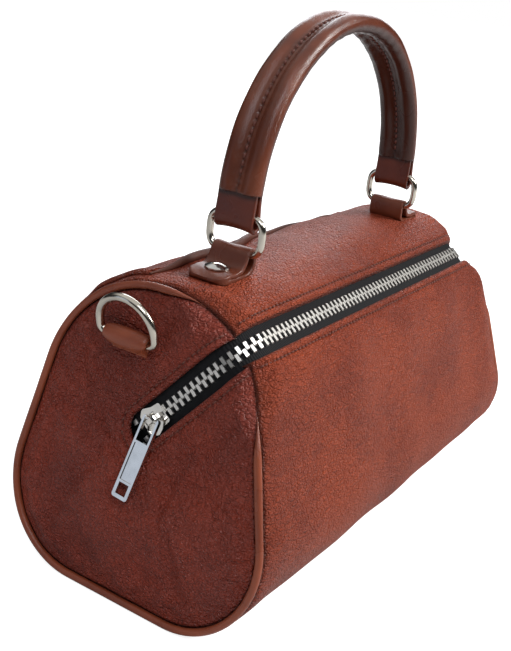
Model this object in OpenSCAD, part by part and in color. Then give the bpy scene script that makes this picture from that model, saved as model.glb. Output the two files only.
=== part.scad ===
// Barrel bag with a zip that runs round both ends, a padded arch handle on two
// rings, and a strap ring at each end.
// X runs along the bag, with the zip slider's end at negative X.
// Y is the depth, with the zip side (the front) at negative Y. Z is up, and the bag stands on Z = 0.

/* [Body] */
// Height of the bag without its handle
body_h = 135; // [110:1:180]
// Length of the bag along its base
base_len = 277; // [220:1:340]
// Length of the bag along its crest
crest_len = 225; // [180:1:300]
// Radius of the end view's lower front corner
base_r = 38.7; // [28:0.1:50]
// Distance of that corner's centre in front of the middle
base_front = 28.4; // [20:0.1:40]
// Radius of the end view's lower back corner
base_back_r = 41.3; // [28:0.1:50]
// Distance of that corner's centre behind the middle
base_back = 24.3; // [16:0.1:36]
// Radius of the end view's upper front corner, which the zip crosses
crest_r = 45.5; // [35:0.5:55]
// Distance of that corner's centre in front of the middle
crest_front = 6.8; // [4:0.1:10]
// Radius of the end view's upper back corner
crest_back_r = 53; // [40:0.5:60]
// Distance of that corner's centre behind the middle
crest_back = 5; // [2:0.1:10]
// Thickness of the leather with its backing
leather_t = 1.8; // [1.2:0.1:2.4]
// Thickness of the lining cloth
lining_t = 0.6; // [0.3:0.1:1]
// Thickness of the stiff board in the base
board_t = 1.6; // [1:0.1:3]
// Diameter of the piping round each end
piping_d = 3.3; // [2.6:0.1:4]

/* [Back pocket] */
// Height at which the pocket's lower seam lies on the back
pocket_low_z = 24; // [15:1:60]
// Depth at which the pocket's mouth lies behind the crest
pocket_mouth_y = 19; // [16:0.5:30]
// Distance from the pocket's side seams to the piping
pocket_side_margin = 7; // [4:0.5:20]
// Thickness of the pocket's leather
pocket_t = 1.4; // [1:0.1:2]
// Height of the rolled binding on the pocket's mouth
binding_h = 2.6; // [1.6:0.1:4]

/* [Zip] */
// Angle above the horizontal at which the zip crosses the upper front corner
zip_cross_angle = 46.5; // [42:0.5:50]
// Angle above the horizontal at which the zip's plane leans down each end
zip_angle = 50; // [45:0.5:52]
// Width of the opening between the two leather lips
zip_gap_w = 13.7; // [12.5:0.1:16]
// Distance down each end from the outer edge to the end of the opening
zip_drop = 67; // [62:0.5:72]
// Radius of the turn from the front to each end
zip_turn_r = 16; // [12:0.5:24]
// Width of the whole tape that is modelled
tape_w = 19; // [17:0.5:22]
// Thickness of the tape
tape_t = 0.6; // [0.4:0.05:0.7]
// Distance between two teeth of the same row
tooth_pitch = 3.5; // [3.4:0.05:4]
// Size of a tooth along the zip
tooth_len = 1.5; // [1:0.05:1.6]
// Width of the closed chain
chain_w = 6.3; // [6:0.1:6.8]
// Thickness of the chain
chain_h = 2.6; // [2.2:0.1:2.8]

/* [Slider and puller] */
// Distance from the end of the opening up to the middle of the closed slider
slider_rise = 12.5; // [12:0.5:18]
// Length of the slider
slider_len = 11.4; // [9.5:0.1:11.8]
// Thickness of each plate of the slider
slider_plate_t = 1; // [0.8:0.05:1.2]
// Travel of the slider up the straight part of the zip
slider_travel = 27; // [15:1:27]
// Length of the puller from its bar's middle to its tip
puller_len = 35; // [28:0.5:42]
// Width of the puller
puller_w = 8; // [7.8:0.1:9]
// Thickness of the puller's rails
puller_t = 2; // [1.6:0.1:2]
// Angle that the hanging puller turns from the line of the zip
puller_turn = 35; // [20:1:38]

/* [Handle] */
// Distance between the middles of the handle's two legs
handle_span = 151; // [130:1:170]
// Distance of the handle's middle in front of the bag's middle
handle_front = 3; // [0:0.5:6]
// Width of the padded cover
handle_w = 20; // [18.5:0.5:24]
// Diameter of the two padded edges of the cover
handle_edge_d = 8.6; // [8:0.1:10]
// Thickness of the cover along its middle seam
handle_waist_t = 5.6; // [5:0.1:7]
// Angle above the horizontal at which each end of the cover stops
cover_end_angle = 4.5; // [4:0.5:12]
// Width of the flat straps and the handle tabs
strap_w = 19.2; // [17:0.2:19.8]
// Thickness of one layer of strap leather
strap_t = 1.8; // [1.4:0.1:2]
// Thickness of the strap where it leaves the cover
strap_leg_t = 5.2; // [4:0.1:6]
// Length of strap loop that hangs below the ring's upper bar
strap_loop_drop = 4; // [2:0.5:6]

/* [Handle rings and tabs] */
// Wire diameter of the handle rings
ring_wire_d = 3.2; // [2.8:0.1:3.6]
// Distance between the two bars of a handle ring
ring_bar_gap = 17; // [15:0.2:22]
// Height of the ring's lower bar above the crest
ring_seat_h = 9; // [7:0.1:11]
// Distance from the lower bar to the tail of the tab
tab_tail_len = 21.5; // [20:0.5:28]
// Thickness of one layer of the tab
tab_t = 2.2; // [1.6:0.1:2.4]
// Distance from the lower bar to the rivet
rivet_offset = 11; // [10.5:0.5:14]
// Diameter of the rivet's cap
rivet_cap_d = 11; // [9:0.5:12]
// Height of the rivet's cap
rivet_cap_h = 2.2; // [1.6:0.1:3]
// Diameter of the rivet's post
rivet_post_d = 3; // [2.5:0.1:4]

/* [Strap rings] */
// Distance of the strap ring's bar below the crest
strap_ring_drop = 24.5; // [18:0.5:28]
// Wire diameter of the strap rings
dee_wire_d = 3.6; // [3:0.1:4]
// Width of the leather loop that holds each strap ring
dee_tab_w = 22; // [18:0.5:25]
// Radius of the strap ring's round end, to the wire's middle
dee_r = 14.3; // [14:0.1:16]
// Length of the strap ring's straight sides
dee_side = 1.5; // [0.5:0.1:4]
// Length of the leather loop below the bar
dee_tab_len = 14; // [12:0.5:18]
// Distance of the strap rings behind the bag's middle
dee_back = 14; // [4:0.5:18]
// Angle at which each strap ring stands off its panel
dee_stand = 24; // [4:1:30]

/* [Hidden] */
$fn = 48;

// Clearances and overrun
overrun = 1;
fit_gap = 0.25;
cloth_gap = 0.2;
pin_gap = 0.06;
seat_gap = 0.05;
tape_gap = 0.06;

// Points along each rounded corner, and along small curves
corner_steps = 16;
curve_steps = 10;

// Colours, as the photo shows them
leather_col = [0.52, 0.25, 0.18];
end_col = [0.42, 0.20, 0.16];
trim_col = [0.32, 0.16, 0.12];
metal_col = [0.80, 0.80, 0.78];
tape_col = [0.05, 0.05, 0.06];
lining_col = [0.20, 0.17, 0.15];

// Where the zip's plane has its origin: crest_r below the line on which the zip crosses the corner
zip_y = -crest_front - crest_r * (cos(zip_cross_angle) - cos(zip_angle));
zip_z = body_h - crest_r + crest_r * (sin(zip_cross_angle) - sin(zip_angle));
strap_ring_z = body_h - strap_ring_drop;
// How much nearer the end comes for each millimetre of height
lean = (base_len - crest_len) / 2 / body_h;
pipe_r = piping_d / 2;
slant = atan(lean * sin(zip_angle));
end_tilt = atan(lean);

// Half the bag's length at a height, to the middle of the piping
function half_len(z) = base_len / 2 - lean * z;

// The four corners of the end view as [y, z, radius], in turn from the front of the base
function corners(inset) = [
    [-base_front, base_r, base_r - inset],
    [base_back, base_back_r, base_back_r - inset],
    [crest_back, body_h - crest_back_r, crest_back_r - inset],
    [-crest_front, body_h - crest_r, crest_r - inset]];

// Direction in which the common tangent of two corners faces
function facing(a, b) = atan2(b[1] - a[1], b[0] - a[0])
    - acos((a[2] - b[2]) / norm([b[0] - a[0], b[1] - a[1]]));

// Angle b raised by full turns until it is not less than angle a
function after(a, b) = b < a ? after(a, b + 360) : b;

// Points of the end view, drawn inwards by the inset
function outline_points(inset) = let (c = corners(inset)) [
    for (i = [0:3])
        let (from = facing(c[(i + 3) % 4], c[i]), to = after(from, facing(c[i], c[(i + 1) % 4])))
        for (k = [0:corner_steps])
            let (a = from + (to - from) * k / corner_steps)
            [c[i][0] + c[i][2] * cos(a), c[i][1] + c[i][2] * sin(a)]];

// A rectangle with round corners, as points
function round_rect(w, l, r) = [
    for (i = [0:3])
        let (sx = (i == 0 || i == 3) ? 1 : -1, sy = i < 2 ? 1 : -1)
        for (k = [0:curve_steps])
            let (a = 90 * i + 90 * k / curve_steps)
            [sx * (w / 2 - r) + r * cos(a), sy * (l / 2 - r) + r * sin(a)]];

// Half of a flattened arch, as points from one foot to the other
arch_power = 3;
function arch_points(half_w, h) = [
    for (k = [0:2 * curve_steps])
        let (a = 180 - 180 * k / (2 * curve_steps), c = cos(a), s = sin(a),
            q = pow(pow(abs(c), arch_power) + pow(s, arch_power), -1 / arch_power))
        [half_w * c * q, h * s * q]];

// The body's cross-section carried along its whole length
module bar_of_outline(inset) {
    rotate([90, 0, 90])
        linear_extrude(height = base_len + 2 * overrun, center = true)
            polygon(outline_points(inset));
}

// Everything between two leaning planes, each set in from the piping's middle
module between_ends(set_in) {
    low = -body_h;
    high = 2 * body_h;
    rotate([90, 0, 0])
        linear_extrude(height = 4 * body_h, center = true)
            polygon([[-half_len(low) + set_in, low], [half_len(low) - set_in, low],
                [half_len(high) - set_in, high], [-half_len(high) + set_in, high]]);
}

// A leaning slab at the right end, from one distance inside the piping's middle to another
module end_slab(from_in, to_in) {
    low = -body_h;
    high = 2 * body_h;
    rotate([90, 0, 0])
        linear_extrude(height = 4 * body_h, center = true)
            polygon([[half_len(low) - from_in, low], [half_len(low) - to_in, low],
                [half_len(high) - to_in, high], [half_len(high) - from_in, high]]);
}

// The zip's plane: X along the bag, Y outwards through the zip, Z down its front side
module zip_frame() {
    translate([0, zip_y, zip_z]) rotate([180 - zip_angle, 0, 0]) children();
}

// The slot between the leather lips, through the whole bag, with round ends
module zip_slot(w, drop) {
    zip_frame() {
        translate([-base_len, crest_r - drop + w / 2, -w / 2])
            cube([2 * base_len, drop + base_r, w]);
        translate([-base_len, crest_r - drop + w / 2, 0])
            rotate([0, 90, 0])
                cylinder(d = w, h = 2 * base_len);
    }
}

// The holes for both rivets
module rivet_holes() {
    for (side = [-1, 1])
        translate([side * rivet_x, -handle_front, body_h - crest_r])
            cylinder(d = rivet_post_d + 2 * pin_gap, h = 2 * crest_r);
}

module main_panel() {
    color(leather_col)
    difference() {
        intersection() {
            bar_of_outline(0);
            between_ends(pipe_r + fit_gap);
        }
        bar_of_outline(leather_t);
        zip_front_slot(zip_gap_w);
        rivet_holes();
    }
}

// The slot along the front alone, which leaves the rest of the wrap whole
module zip_front_slot(w) {
    zip_frame()
        translate([-base_len, crest_r / 2, -w / 2])
            cube([2 * base_len, crest_r, w]);
}

module end_panel() {
    color(end_col)
    difference() {
        intersection() {
            bar_of_outline(piping_d + fit_gap);
            end_slab(pipe_r, pipe_r - leather_t);
        }
        zip_slot(zip_gap_w, zip_drop);
    }
}

// Piping: a cord along the end view's edge, leaning with the end, open where the zip crosses
pipe_sides = 8;
pipe_gap_w = 17;
pipe_gap_half = asin(pipe_gap_w / 2 / crest_r);
// Direction of the zip crossing, as an angle round the upper front corner
pipe_cross = 180 - zip_cross_angle;
// The cord's path: the outline's points from past the zip round to before it
function pipe_path() = let (c = corners(pipe_r)) [
    for (j = [0:4])
        let (i = (j + 3) % 4,
            start = facing(c[(i + 3) % 4], c[i]),
            stop = after(start, facing(c[i], c[(i + 1) % 4])),
            from = j == 0 ? pipe_cross + pipe_gap_half : start,
            to = j == 4 ? pipe_cross - pipe_gap_half : stop,
            steps = corner_steps)
        for (k = [0:steps])
            let (a = from + (to - from) * k / steps,
                y = c[i][0] + c[i][2] * cos(a), z = c[i][1] + c[i][2] * sin(a))
            [half_len(z), y, z]];

function unit(v) = v / norm(v);
// Rings of points round each point of a path, square to it
function tube_points(path, r, sides) = let (n = len(path)) [
    for (i = [0:n - 1])
        let (t = unit(path[min(i + 1, n - 1)] - path[max(i - 1, 0)]),
            u = unit(cross(t, [1, 0, 0])), v = cross(t, u))
        for (k = [0:sides - 1])
            path[i] + r * (cos(360 * k / sides) * u + sin(360 * k / sides) * v)];
function tube_faces(n, sides) = concat(
    [[for (k = [sides - 1:-1:0]) k]],
    [for (i = [0:n - 2]) for (k = [0:sides - 1])
        let (a = i * sides + k, b = i * sides + (k + 1) % sides)
        each [[a, b, b + sides], [a, b + sides, a + sides]]],
    [[for (k = [0:sides - 1]) (n - 1) * sides + k]]);

module piping() {
    path = pipe_path();
    color(trim_col)
        polyhedron(tube_points(path, pipe_r, pipe_sides), tube_faces(len(path), pipe_sides));
}

// The back pocket: a second layer of leather over the back, open along the crest
module pocket_region() {
    translate([-base_len, pocket_mouth_y, pocket_low_z])
        cube([2 * base_len, body_h, body_h]);
}

module back_pocket() {
    color(end_col)
    intersection() {
        difference() {
            bar_of_outline(-cloth_gap - pocket_t);
            bar_of_outline(-cloth_gap);
        }
        pocket_region();
        between_ends(pocket_side_margin);
    }
}

// The rolled binding that closes the pocket's upper edge
mouth_drop = crest_back_r - sqrt(pow(crest_back_r, 2) - pow(pocket_mouth_y - crest_back, 2));
module pocket_binding() {
    x = half_len(body_h) - pocket_side_margin;
    color(trim_col)
    difference() {
        translate([-x, pocket_mouth_y - fit_gap - binding_h / 2, body_h - mouth_drop + binding_h / 2 + fit_gap])
            rotate([0, 90, 0])
                cylinder(d = binding_h, h = 2 * x);
        bar_of_outline(-cloth_gap);
    }
}

module lining() {
    inset = leather_t + cloth_gap;
    set_in = pipe_r + fit_gap;
    color(lining_col)
    difference() {
        intersection() {
            bar_of_outline(inset);
            between_ends(set_in);
        }
        intersection() {
            bar_of_outline(inset + lining_t);
            between_ends(set_in + lining_t);
        }
        zip_frame()
            translate([-base_len, crest_r - zip_drop - 4 * fit_gap, -tape_w / 2 - 2 * fit_gap])
                cube([2 * base_len, zip_drop + base_r, tape_w + 4 * fit_gap]);
        rivet_holes();
    }
}

module base_board() {
    z = leather_t + cloth_gap + lining_t + cloth_gap;
    l = 2 * (half_len(z) - pipe_r - fit_gap - lining_t) - 8 * fit_gap;
    color(lining_col)
        translate([0, (base_back - base_front) / 2, z])
            linear_extrude(height = board_t)
                polygon(round_rect(l, base_back + base_front, board_corner_r));
}
board_corner_r = 8;

// The zip's path, in the zip's plane. The front run lies under the leather of the wrap, and the
// two end runs under the leather of the leaning end panels.
under_lip = 3.9;
front_y = crest_r - under_lip;
leg_x0 = half_len(zip_z) - under_lip;
turn_y = front_y - zip_turn_r;
turn_x = leg_x0 - tan(slant) * turn_y - zip_turn_r / cos(slant);
turn_angle = 90 - slant;
turn_len = zip_turn_r * PI * turn_angle / 180;
leg_start = [turn_x + zip_turn_r * cos(slant), turn_y + zip_turn_r * sin(slant)];
// Length of the end run down to the end of the tape, and to the middle of the closed slider
leg_len = (leg_start[1] - (crest_r - zip_drop)) / cos(slant);
slider_run = leg_len - slider_rise / cos(slant);
half_path = turn_x + turn_len + leg_len;
slider_at = turn_x + turn_len + slider_run;

// Place and outward direction on the path, at a distance t from the middle of the front
function on_turn(t) = 90 - (t - turn_x) / zip_turn_r * 180 / PI;
function path_angle(t) = t <= turn_x ? 90 : t <= turn_x + turn_len ? on_turn(t) : slant;
function path_point(t) = t <= turn_x ? [t, front_y]
    : t <= turn_x + turn_len
        ? [turn_x + zip_turn_r * cos(on_turn(t)), turn_y + zip_turn_r * sin(on_turn(t))]
        : leg_start + (t - turn_x - turn_len) * [sin(slant), -cos(slant)];

// Puts children on the path: X away from the front's middle, Y outwards, Z down the front side
module on_path(t, side) {
    p = path_point(t);
    mirror([side < 0 ? 1 : 0, 0, 0])
        translate([p[0], p[1], 0])
            rotate([0, 0, path_angle(t) - 90])
                children();
}

// How far each row is spread from the middle, near the slider's end of the zip
spread_max = 1.9;
spread_run = 7;
spread_end = 0.6;
function smooth(x) = let (c = min(max(x, 0), 1)) c * c * (3 - 2 * c);
function spread(q) = spread_max * smooth((q + spread_run / 2) / spread_run)
    + spread_end * smooth((q - spread_run / 2) / spread_run);

// How far a tooth's grip, and with it the tape's inner edge, lies from the middle of the chain
grip_at = 1;
tape_in = grip_at + tape_gap;

// A tape half: one strip bent along the path, cut back where it spreads near the slider
turn_steps = 12;
function strip_side(offset, side) = [for (v = concat(
        [for (k = [0:turn_steps])
            let (a = 90 - turn_angle * k / turn_steps)
            [turn_x + (zip_turn_r + offset) * cos(a), turn_y + (zip_turn_r + offset) * sin(a)]],
        [leg_start + offset * [cos(slant), sin(slant)] + leg_len * [sin(slant), -cos(slant)]]))
    [side * v[0], v[1]]];
function strip_outline() = let (
        outer_left = strip_side(tape_t / 2, -1), inner_left = strip_side(-tape_t / 2, -1), n = len(outer_left) - 1)
    concat([for (k = [n:-1:0]) outer_left[k]], strip_side(tape_t / 2, 1),
        [for (k = [n:-1:0]) strip_side(-tape_t / 2, 1)[k]], inner_left);
spread_from = slider_run - tooth_len / 2 - spread_run / 2;
spread_steps = 24;
module tape_half(hand) {
    w = tape_w / 2 - tape_in;
    cut_len = leg_len + overrun - spread_from;
    difference() {
        translate([0, 0, hand > 0 ? tape_in : -tape_in - w])
            linear_extrude(height = w)
                polygon(strip_outline());
        on_path(turn_x + turn_len, -1)
            flat_at(-tape_t, 2 * tape_t)
                polygon(concat([for (k = [1:spread_steps])
                    let (s = spread_from + cut_len * k / spread_steps)
                    [s, hand * (tape_in + spread(s - slider_run + tooth_len / 2))]],
                    [[spread_from + cut_len, 0], [spread_from, 0]]));
    }
}

module zip_tape_upper() {
    color(tape_col) zip_frame() tape_half(-1);
}
module zip_tape_lower() {
    color(tape_col) zip_frame() tape_half(1);
}

// One tooth: a head that meets the other row, and two legs that grip the tape's edge
head_reach = 0.7;
tooth_bevel = 0.35;
module tooth(hand, p) {
    h = chain_h / 2;
    end = chain_w / 2;
    slit = tape_t / 2 + tape_gap;
    b = tooth_bevel;
    translate([-tooth_len / 2, 0, 0])
        rotate([90, 0, 90])
            linear_extrude(height = tooth_len)
                polygon([for (v = [[-head_reach, -h + b], [-head_reach + b, -h], [end - b, -h], [end, -h + b],
                        [end, -slit], [grip_at, -slit], [grip_at, slit], [end, slit],
                        [end, h - b], [end - b, h], [-head_reach + b, h], [-head_reach, h - b]])
                    [v[1], hand * (v[0] + p)]]);
}

// Length and height of each stop clip, its distance from the tape's end, and length of the end clamp
stop_len = 2.2;
stop_h = 2;
stop_in = 2.4;
clamp_len = 4.4;

// A row of teeth. The two rows lie half a pitch apart.
first_tooth_gap = stop_in + stop_len / 2 + tooth_len / 2 + fit_gap;
end_tooth_gap = 3 / 2 * clamp_len + tooth_len / 2 + fit_gap;
module tooth_row(hand) {
    shift = hand > 0 ? 0 : 1 / 2;
    last_left = half_path - first_tooth_gap;
    last_right = half_path - end_tooth_gap;
    for (k = [-floor(last_left / tooth_pitch + shift):floor(last_right / tooth_pitch - shift)]) {
        t = (k + shift) * tooth_pitch;
        side = t < 0 ? -1 : 1;
        on_path(abs(t), side)
            tooth(hand, side < 0 ? spread(abs(t) - slider_at) : 0);
    }
}

module zip_teeth_upper() {
    color(metal_col) zip_frame() tooth_row(-1);
}
module zip_teeth_lower() {
    color(metal_col) zip_frame() tooth_row(1);
}

// Two clips that stop the slider at the closed end, and a clamp that ends the chain
module stop_clip(hand) {
    p = spread(half_path - stop_in - slider_at);
    w = chain_w / 2 - tape_in;
    difference() {
        translate([-stop_len / 2, -stop_h / 2, hand > 0 ? p + grip_at - tooth_bevel : -p - grip_at - w + tooth_bevel])
            cube([stop_len, stop_h, w]);
        translate([-stop_len, -tape_t / 2 - tape_gap, hand > 0 ? p + grip_at : -p - grip_at - tape_w])
            cube([2 * stop_len, tape_t + 2 * tape_gap, tape_w]);
    }
}
module zip_stops() {
    color(metal_col)
    zip_frame() {
        for (hand = [-1, 1])
            on_path(half_path - stop_in, -1) stop_clip(hand);
        on_path(half_path - clamp_len, 1)
            difference() {
                translate([-clamp_len / 2, -chain_h / 2, -chain_w / 2])
                    cube([clamp_len, chain_h, chain_w]);
                for (hand = [-1, 1])
                    translate([-clamp_len, -tape_t / 2 - tape_gap, hand > 0 ? tape_in - tape_gap : tape_gap - tape_in - tape_w])
                        cube([2 * clamp_len, tape_t + 2 * tape_gap, tape_w]);
            }
    }
}

// The slider, in the frame of the path: X towards its nose, Y outwards, Z across
channel_gap = 0.15;
wall_tail = 1.2;
wall_nose = 0.95;
plate_gap = 0.12;
nose_len = 2;
tail_round = 1.2;
flange_slit = 0.45;
bridge_w = 1.8;
bridge_half = 3.5;
bridge_h = 4.5;
bridge_open_half = 2.6;
bridge_open_h = 3.6;
post_tip = 1.2;
post_nose = 4.4;
post_tip_w = 0.5;
post_nose_w = 1.6;
slider_y = chain_h / 2 + plate_gap;
bar_h = 2.5;

// Half the width of the channel that the teeth run in
function channel_half(q) = chain_w / 2 + spread(q + tooth_len / 2) + channel_gap;
// Edge of the channel along the slider, on one hand
function channel_edge(hand, from, to) = [
    for (k = [0:curve_steps])
        let (q = from + (to - from) * k / curve_steps)
        [q, hand * channel_half(q)]];
// Outline of a plate: narrow at the tail, wide shoulders, drawn in at the nose
function plate_outline() = let (
        h = slider_len / 2,
        tail = channel_half(-h) + wall_tail,
        wide = channel_half(h) + wall_nose)
    [for (hand = [1, -1]) let (s = hand)
        each [for (v = hand > 0
            ? [[-h + tail_round / 2, tail], [-h / 4, (tail + wide) / 2 - wall_tail / 2], [h - nose_len - tail_round, wide],
                [h - nose_len, wide - tail_round / 4], [h, wide - nose_len], [h + nose_len / 4, post_nose_w]]
            : [[h + nose_len / 4, post_nose_w], [h, wide - nose_len], [h - nose_len, wide - tail_round / 4],
                [h - nose_len - tail_round, wide], [-h / 4, (tail + wide) / 2 - wall_tail / 2], [-h + tail_round / 2, tail]])
            [v[0], s * v[1]]],
        [-h, -tail + tail_round / 2], [-h, tail - tail_round / 2]];

// Lays a flat outline of [along, across] at a height, with a thickness
module flat_at(y, t) {
    translate([0, y + t, 0])
        rotate([90, 0, 0])
            linear_extrude(height = t)
                children();
}

module slider_channel() {
    polygon(concat(channel_edge(1, -slider_len, slider_len),
        [for (v = [curve_steps:-1:0]) channel_edge(-1, -slider_len, slider_len)[v]]));
}

module zip_slider() {
    color(metal_col)
    zip_frame()
        on_path(slider_at, -1) {
            for (hand = [-1, 1])
                mirror([0, hand < 0 ? 1 : 0, 0]) {
                    flat_at(slider_y, slider_plate_t) polygon(plate_outline());
                    flat_at(flange_slit, slider_y - flange_slit)
                        difference() {
                            polygon(plate_outline());
                            slider_channel();
                        }
                }
            flat_at(-slider_y, 2 * slider_y)
                polygon([[post_tip, -post_tip_w / 2], [post_nose, -post_nose_w / 2],
                    [post_nose, post_nose_w / 2], [post_tip, post_tip_w / 2]]);
            slider_bridge();
        }
}

module slider_bridge() {
    translate([0, slider_y + slider_plate_t - seat_gap, -bridge_w / 2])
        linear_extrude(height = bridge_w)
            difference() {
                polygon(arch_points(bridge_half, bridge_h));
                polygon(arch_points(bridge_open_half, bridge_open_h));
            }
}

// Where the puller's bar lies, in the bag's own frame
bar_xy = path_point(slider_at) + (slider_y + slider_plate_t + bar_h) * [cos(slant), sin(slant)];
bar_pos = [-bar_xy[0], zip_y - bar_xy[1] * cos(zip_angle), zip_z + bar_xy[1] * sin(zip_angle)];

// Puller's frame: origin at the bar, Y along the bar, Z up along the puller, X out of the bag
puller_lift = 12;
hang = 90 - zip_angle - puller_turn;
module puller_frame() {
    translate(bar_pos)
        rotate([0, end_tilt, 0])
            rotate([hang, 0, 0])
                rotate([0, puller_lift, 0])
                    mirror([1, 0, 0])
                        children();
}

bar_d = 1.7;
rail_w = 1;
ear_r = 1.2;
eye_len = 10;
web_t = 1.1;
foot_len = 1.6;
window_len = 5;
tip_round = 1.2;
module puller_blank() {
    translate([0, -(puller_len - ear_r) / 2])
        polygon(round_rect(puller_w, puller_len + ear_r, tip_round));
}
module zip_puller() {
    inner = puller_w - 2 * rail_w;
    color(metal_col)
    puller_frame()
        rotate([90, 0, 90]) {
            difference() {
                translate([0, 0, -puller_t / 2])
                    linear_extrude(height = puller_t)
                        puller_blank();
                translate([-inner / 2, -eye_len, -puller_t])
                    cube([inner, eye_len + 2 * ear_r, 2 * puller_t]);
                translate([-inner / 2 + rail_w / 2, foot_len - puller_len, -puller_t])
                    cube([inner - rail_w, window_len, 2 * puller_t]);
                for (face = [-1, 1])
                    translate([-inner / 2, foot_len + window_len + rail_w - puller_len,
                            face > 0 ? web_t / 2 : -web_t / 2 - puller_t])
                        cube([inner, puller_len - eye_len - 2 * rail_w - foot_len - window_len, puller_t]);
            }
            rotate([0, 90, 0])
                cylinder(d = bar_d, h = inner + rail_w, center = true);
        }
}

// Handle tabs: a folded strip along the crest, with the ring's bar in its roll
ring_x = handle_span / 2;
seat_z = body_h + ring_seat_h;
rivet_x = ring_x + rivet_offset;
roll_r = ring_wire_d / 2 + pin_gap + tab_t;
tab_slope_run = 3;
tab_corner_r = 3;
module handle_tab() {
    tail_x = ring_x + tab_tail_len;
    top_x = rivet_x - rivet_cap_d / 2;
    color(trim_col)
    difference() {
        intersection() {
            rotate([90, 0, 0])
                linear_extrude(height = strap_w, center = true)
                    union() {
                        translate([ring_x, seat_z]) circle(r = roll_r);
                        polygon([[ring_x, body_h], [tail_x, body_h], [tail_x, body_h + tab_t],
                            [tail_x - overrun, body_h + 2 * tab_t], [top_x, body_h + 2 * tab_t],
                            [top_x - tab_slope_run / 2, body_h + 2 * tab_t + tab_bump],
                            [ring_x + roll_r * sin(roll_lap), seat_z + roll_r * cos(roll_lap)],
                            [ring_x, seat_z], [ring_x - roll_r, seat_z], [ring_x - roll_r, body_h + tab_t / 2],
                            [ring_x - roll_r + tab_t / 2, body_h]]);
                    }
            translate([ring_x + (tab_tail_len - roll_r) / 2, 0, 0])
                linear_extrude(height = 2 * body_h)
                    polygon(round_rect(tab_tail_len + roll_r, strap_w, tab_corner_r / 3));
        }
        translate([ring_x, 0, seat_z])
            rotate([90, 0, 0])
                cylinder(d = ring_wire_d + 2 * pin_gap, h = 2 * strap_w, center = true);
        translate([rivet_x, 0, body_h - crest_r])
            cylinder(d = rivet_post_d + 2 * pin_gap, h = 2 * crest_r);
    }
}
roll_lap = 35;
tab_bump = 0.4;

// Rivet: a domed cap, a post through tab and wrap, and a flat washer inside
washer_d = 8;
washer_t = 0.8;
module tab_rivet() {
    top = body_h + 2 * tab_t;
    below = body_h - leather_t - lining_t - 2 * cloth_gap;
    dome_r = (pow(rivet_cap_d / 2, 2) + pow(rivet_cap_h, 2)) / (2 * rivet_cap_h) + tab_t;
    color(metal_col)
    translate([rivet_x, 0, 0]) {
        intersection() {
            translate([0, 0, top]) cylinder(d = rivet_cap_d, h = rivet_cap_h);
            translate([0, 0, top + rivet_cap_h - dome_r]) sphere(r = dome_r);
        }
        translate([0, 0, below - washer_t])
            cylinder(d = rivet_post_d, h = top - below + 2 * washer_t);
        translate([0, 0, below - washer_t])
            cylinder(d = washer_d, h = washer_t);
    }
}

// Handle ring: two straight bars, round corners and straight sides
bar_half = strap_w / 2 + 2 * seat_gap;
ring_corner_r = 2.8;
ring_half = ring_bar_gap / 2;
module wire_arc(r, from, to, d) {
    rotate([0, 0, from])
        rotate_extrude(angle = to - from)
            translate([r, 0]) circle(d = d);
}
module handle_ring() {
    color(metal_col)
    translate([ring_x, 0, seat_z + ring_half])
        rotate([90, 0, 90])
            for (side = [0, 1]) mirror([side, 0, 0])
                for (up = [0, 1]) mirror([0, up, 0]) {
                    translate([0, ring_half, 0])
                        rotate([0, 90, 0])
                            cylinder(d = ring_wire_d, h = bar_half);
                    translate([bar_half, ring_half - ring_corner_r, 0])
                        wire_arc(ring_corner_r, 0, 90, ring_wire_d);
                    translate([bar_half + ring_corner_r, 0, 0])
                        rotate([-90, 0, 0])
                            cylinder(d = ring_wire_d, h = ring_half - ring_corner_r);
                }
}

// The handle: its arch turns about an axis along Y at the height of the upper bars
hinge_z = seat_z + ring_bar_gap;
arch_z = hinge_z + 3;
edge_y = (handle_w - handle_edge_d) / 2;
module arch_about(from, to) {
    translate([0, 0, arch_z])
        rotate([90, 0, 0])
            rotate([0, 0, from])
                rotate_extrude(angle = to - from)
                    translate([ring_x, 0]) children();
}
cover_t = 1.4;
tongue_angle = 16;
tongue_t = 2.4;
tongue_gap = 0.1;
filler_gap = 0.1;
module cover_section(t) {
    for (hand = [-1, 1])
        translate([0, hand * edge_y]) circle(d = handle_edge_d - 2 * t);
    square([t > 0 ? tongue_t + 2 * tongue_gap : handle_waist_t, 2 * edge_y], center = true);
}
module handle_cover() {
    color(trim_col)
    arch_about(cover_end_angle, 180 - cover_end_angle)
        difference() {
            cover_section(0);
            cover_section(cover_t);
        }
}
module handle_filler() {
    color(lining_col)
    for (hand = [-1, 1])
        arch_about(tongue_angle + 1, 179 - tongue_angle)
            translate([0, hand * edge_y])
                circle(d = handle_edge_d - 2 * cover_t - 2 * filler_gap);
}

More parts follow.
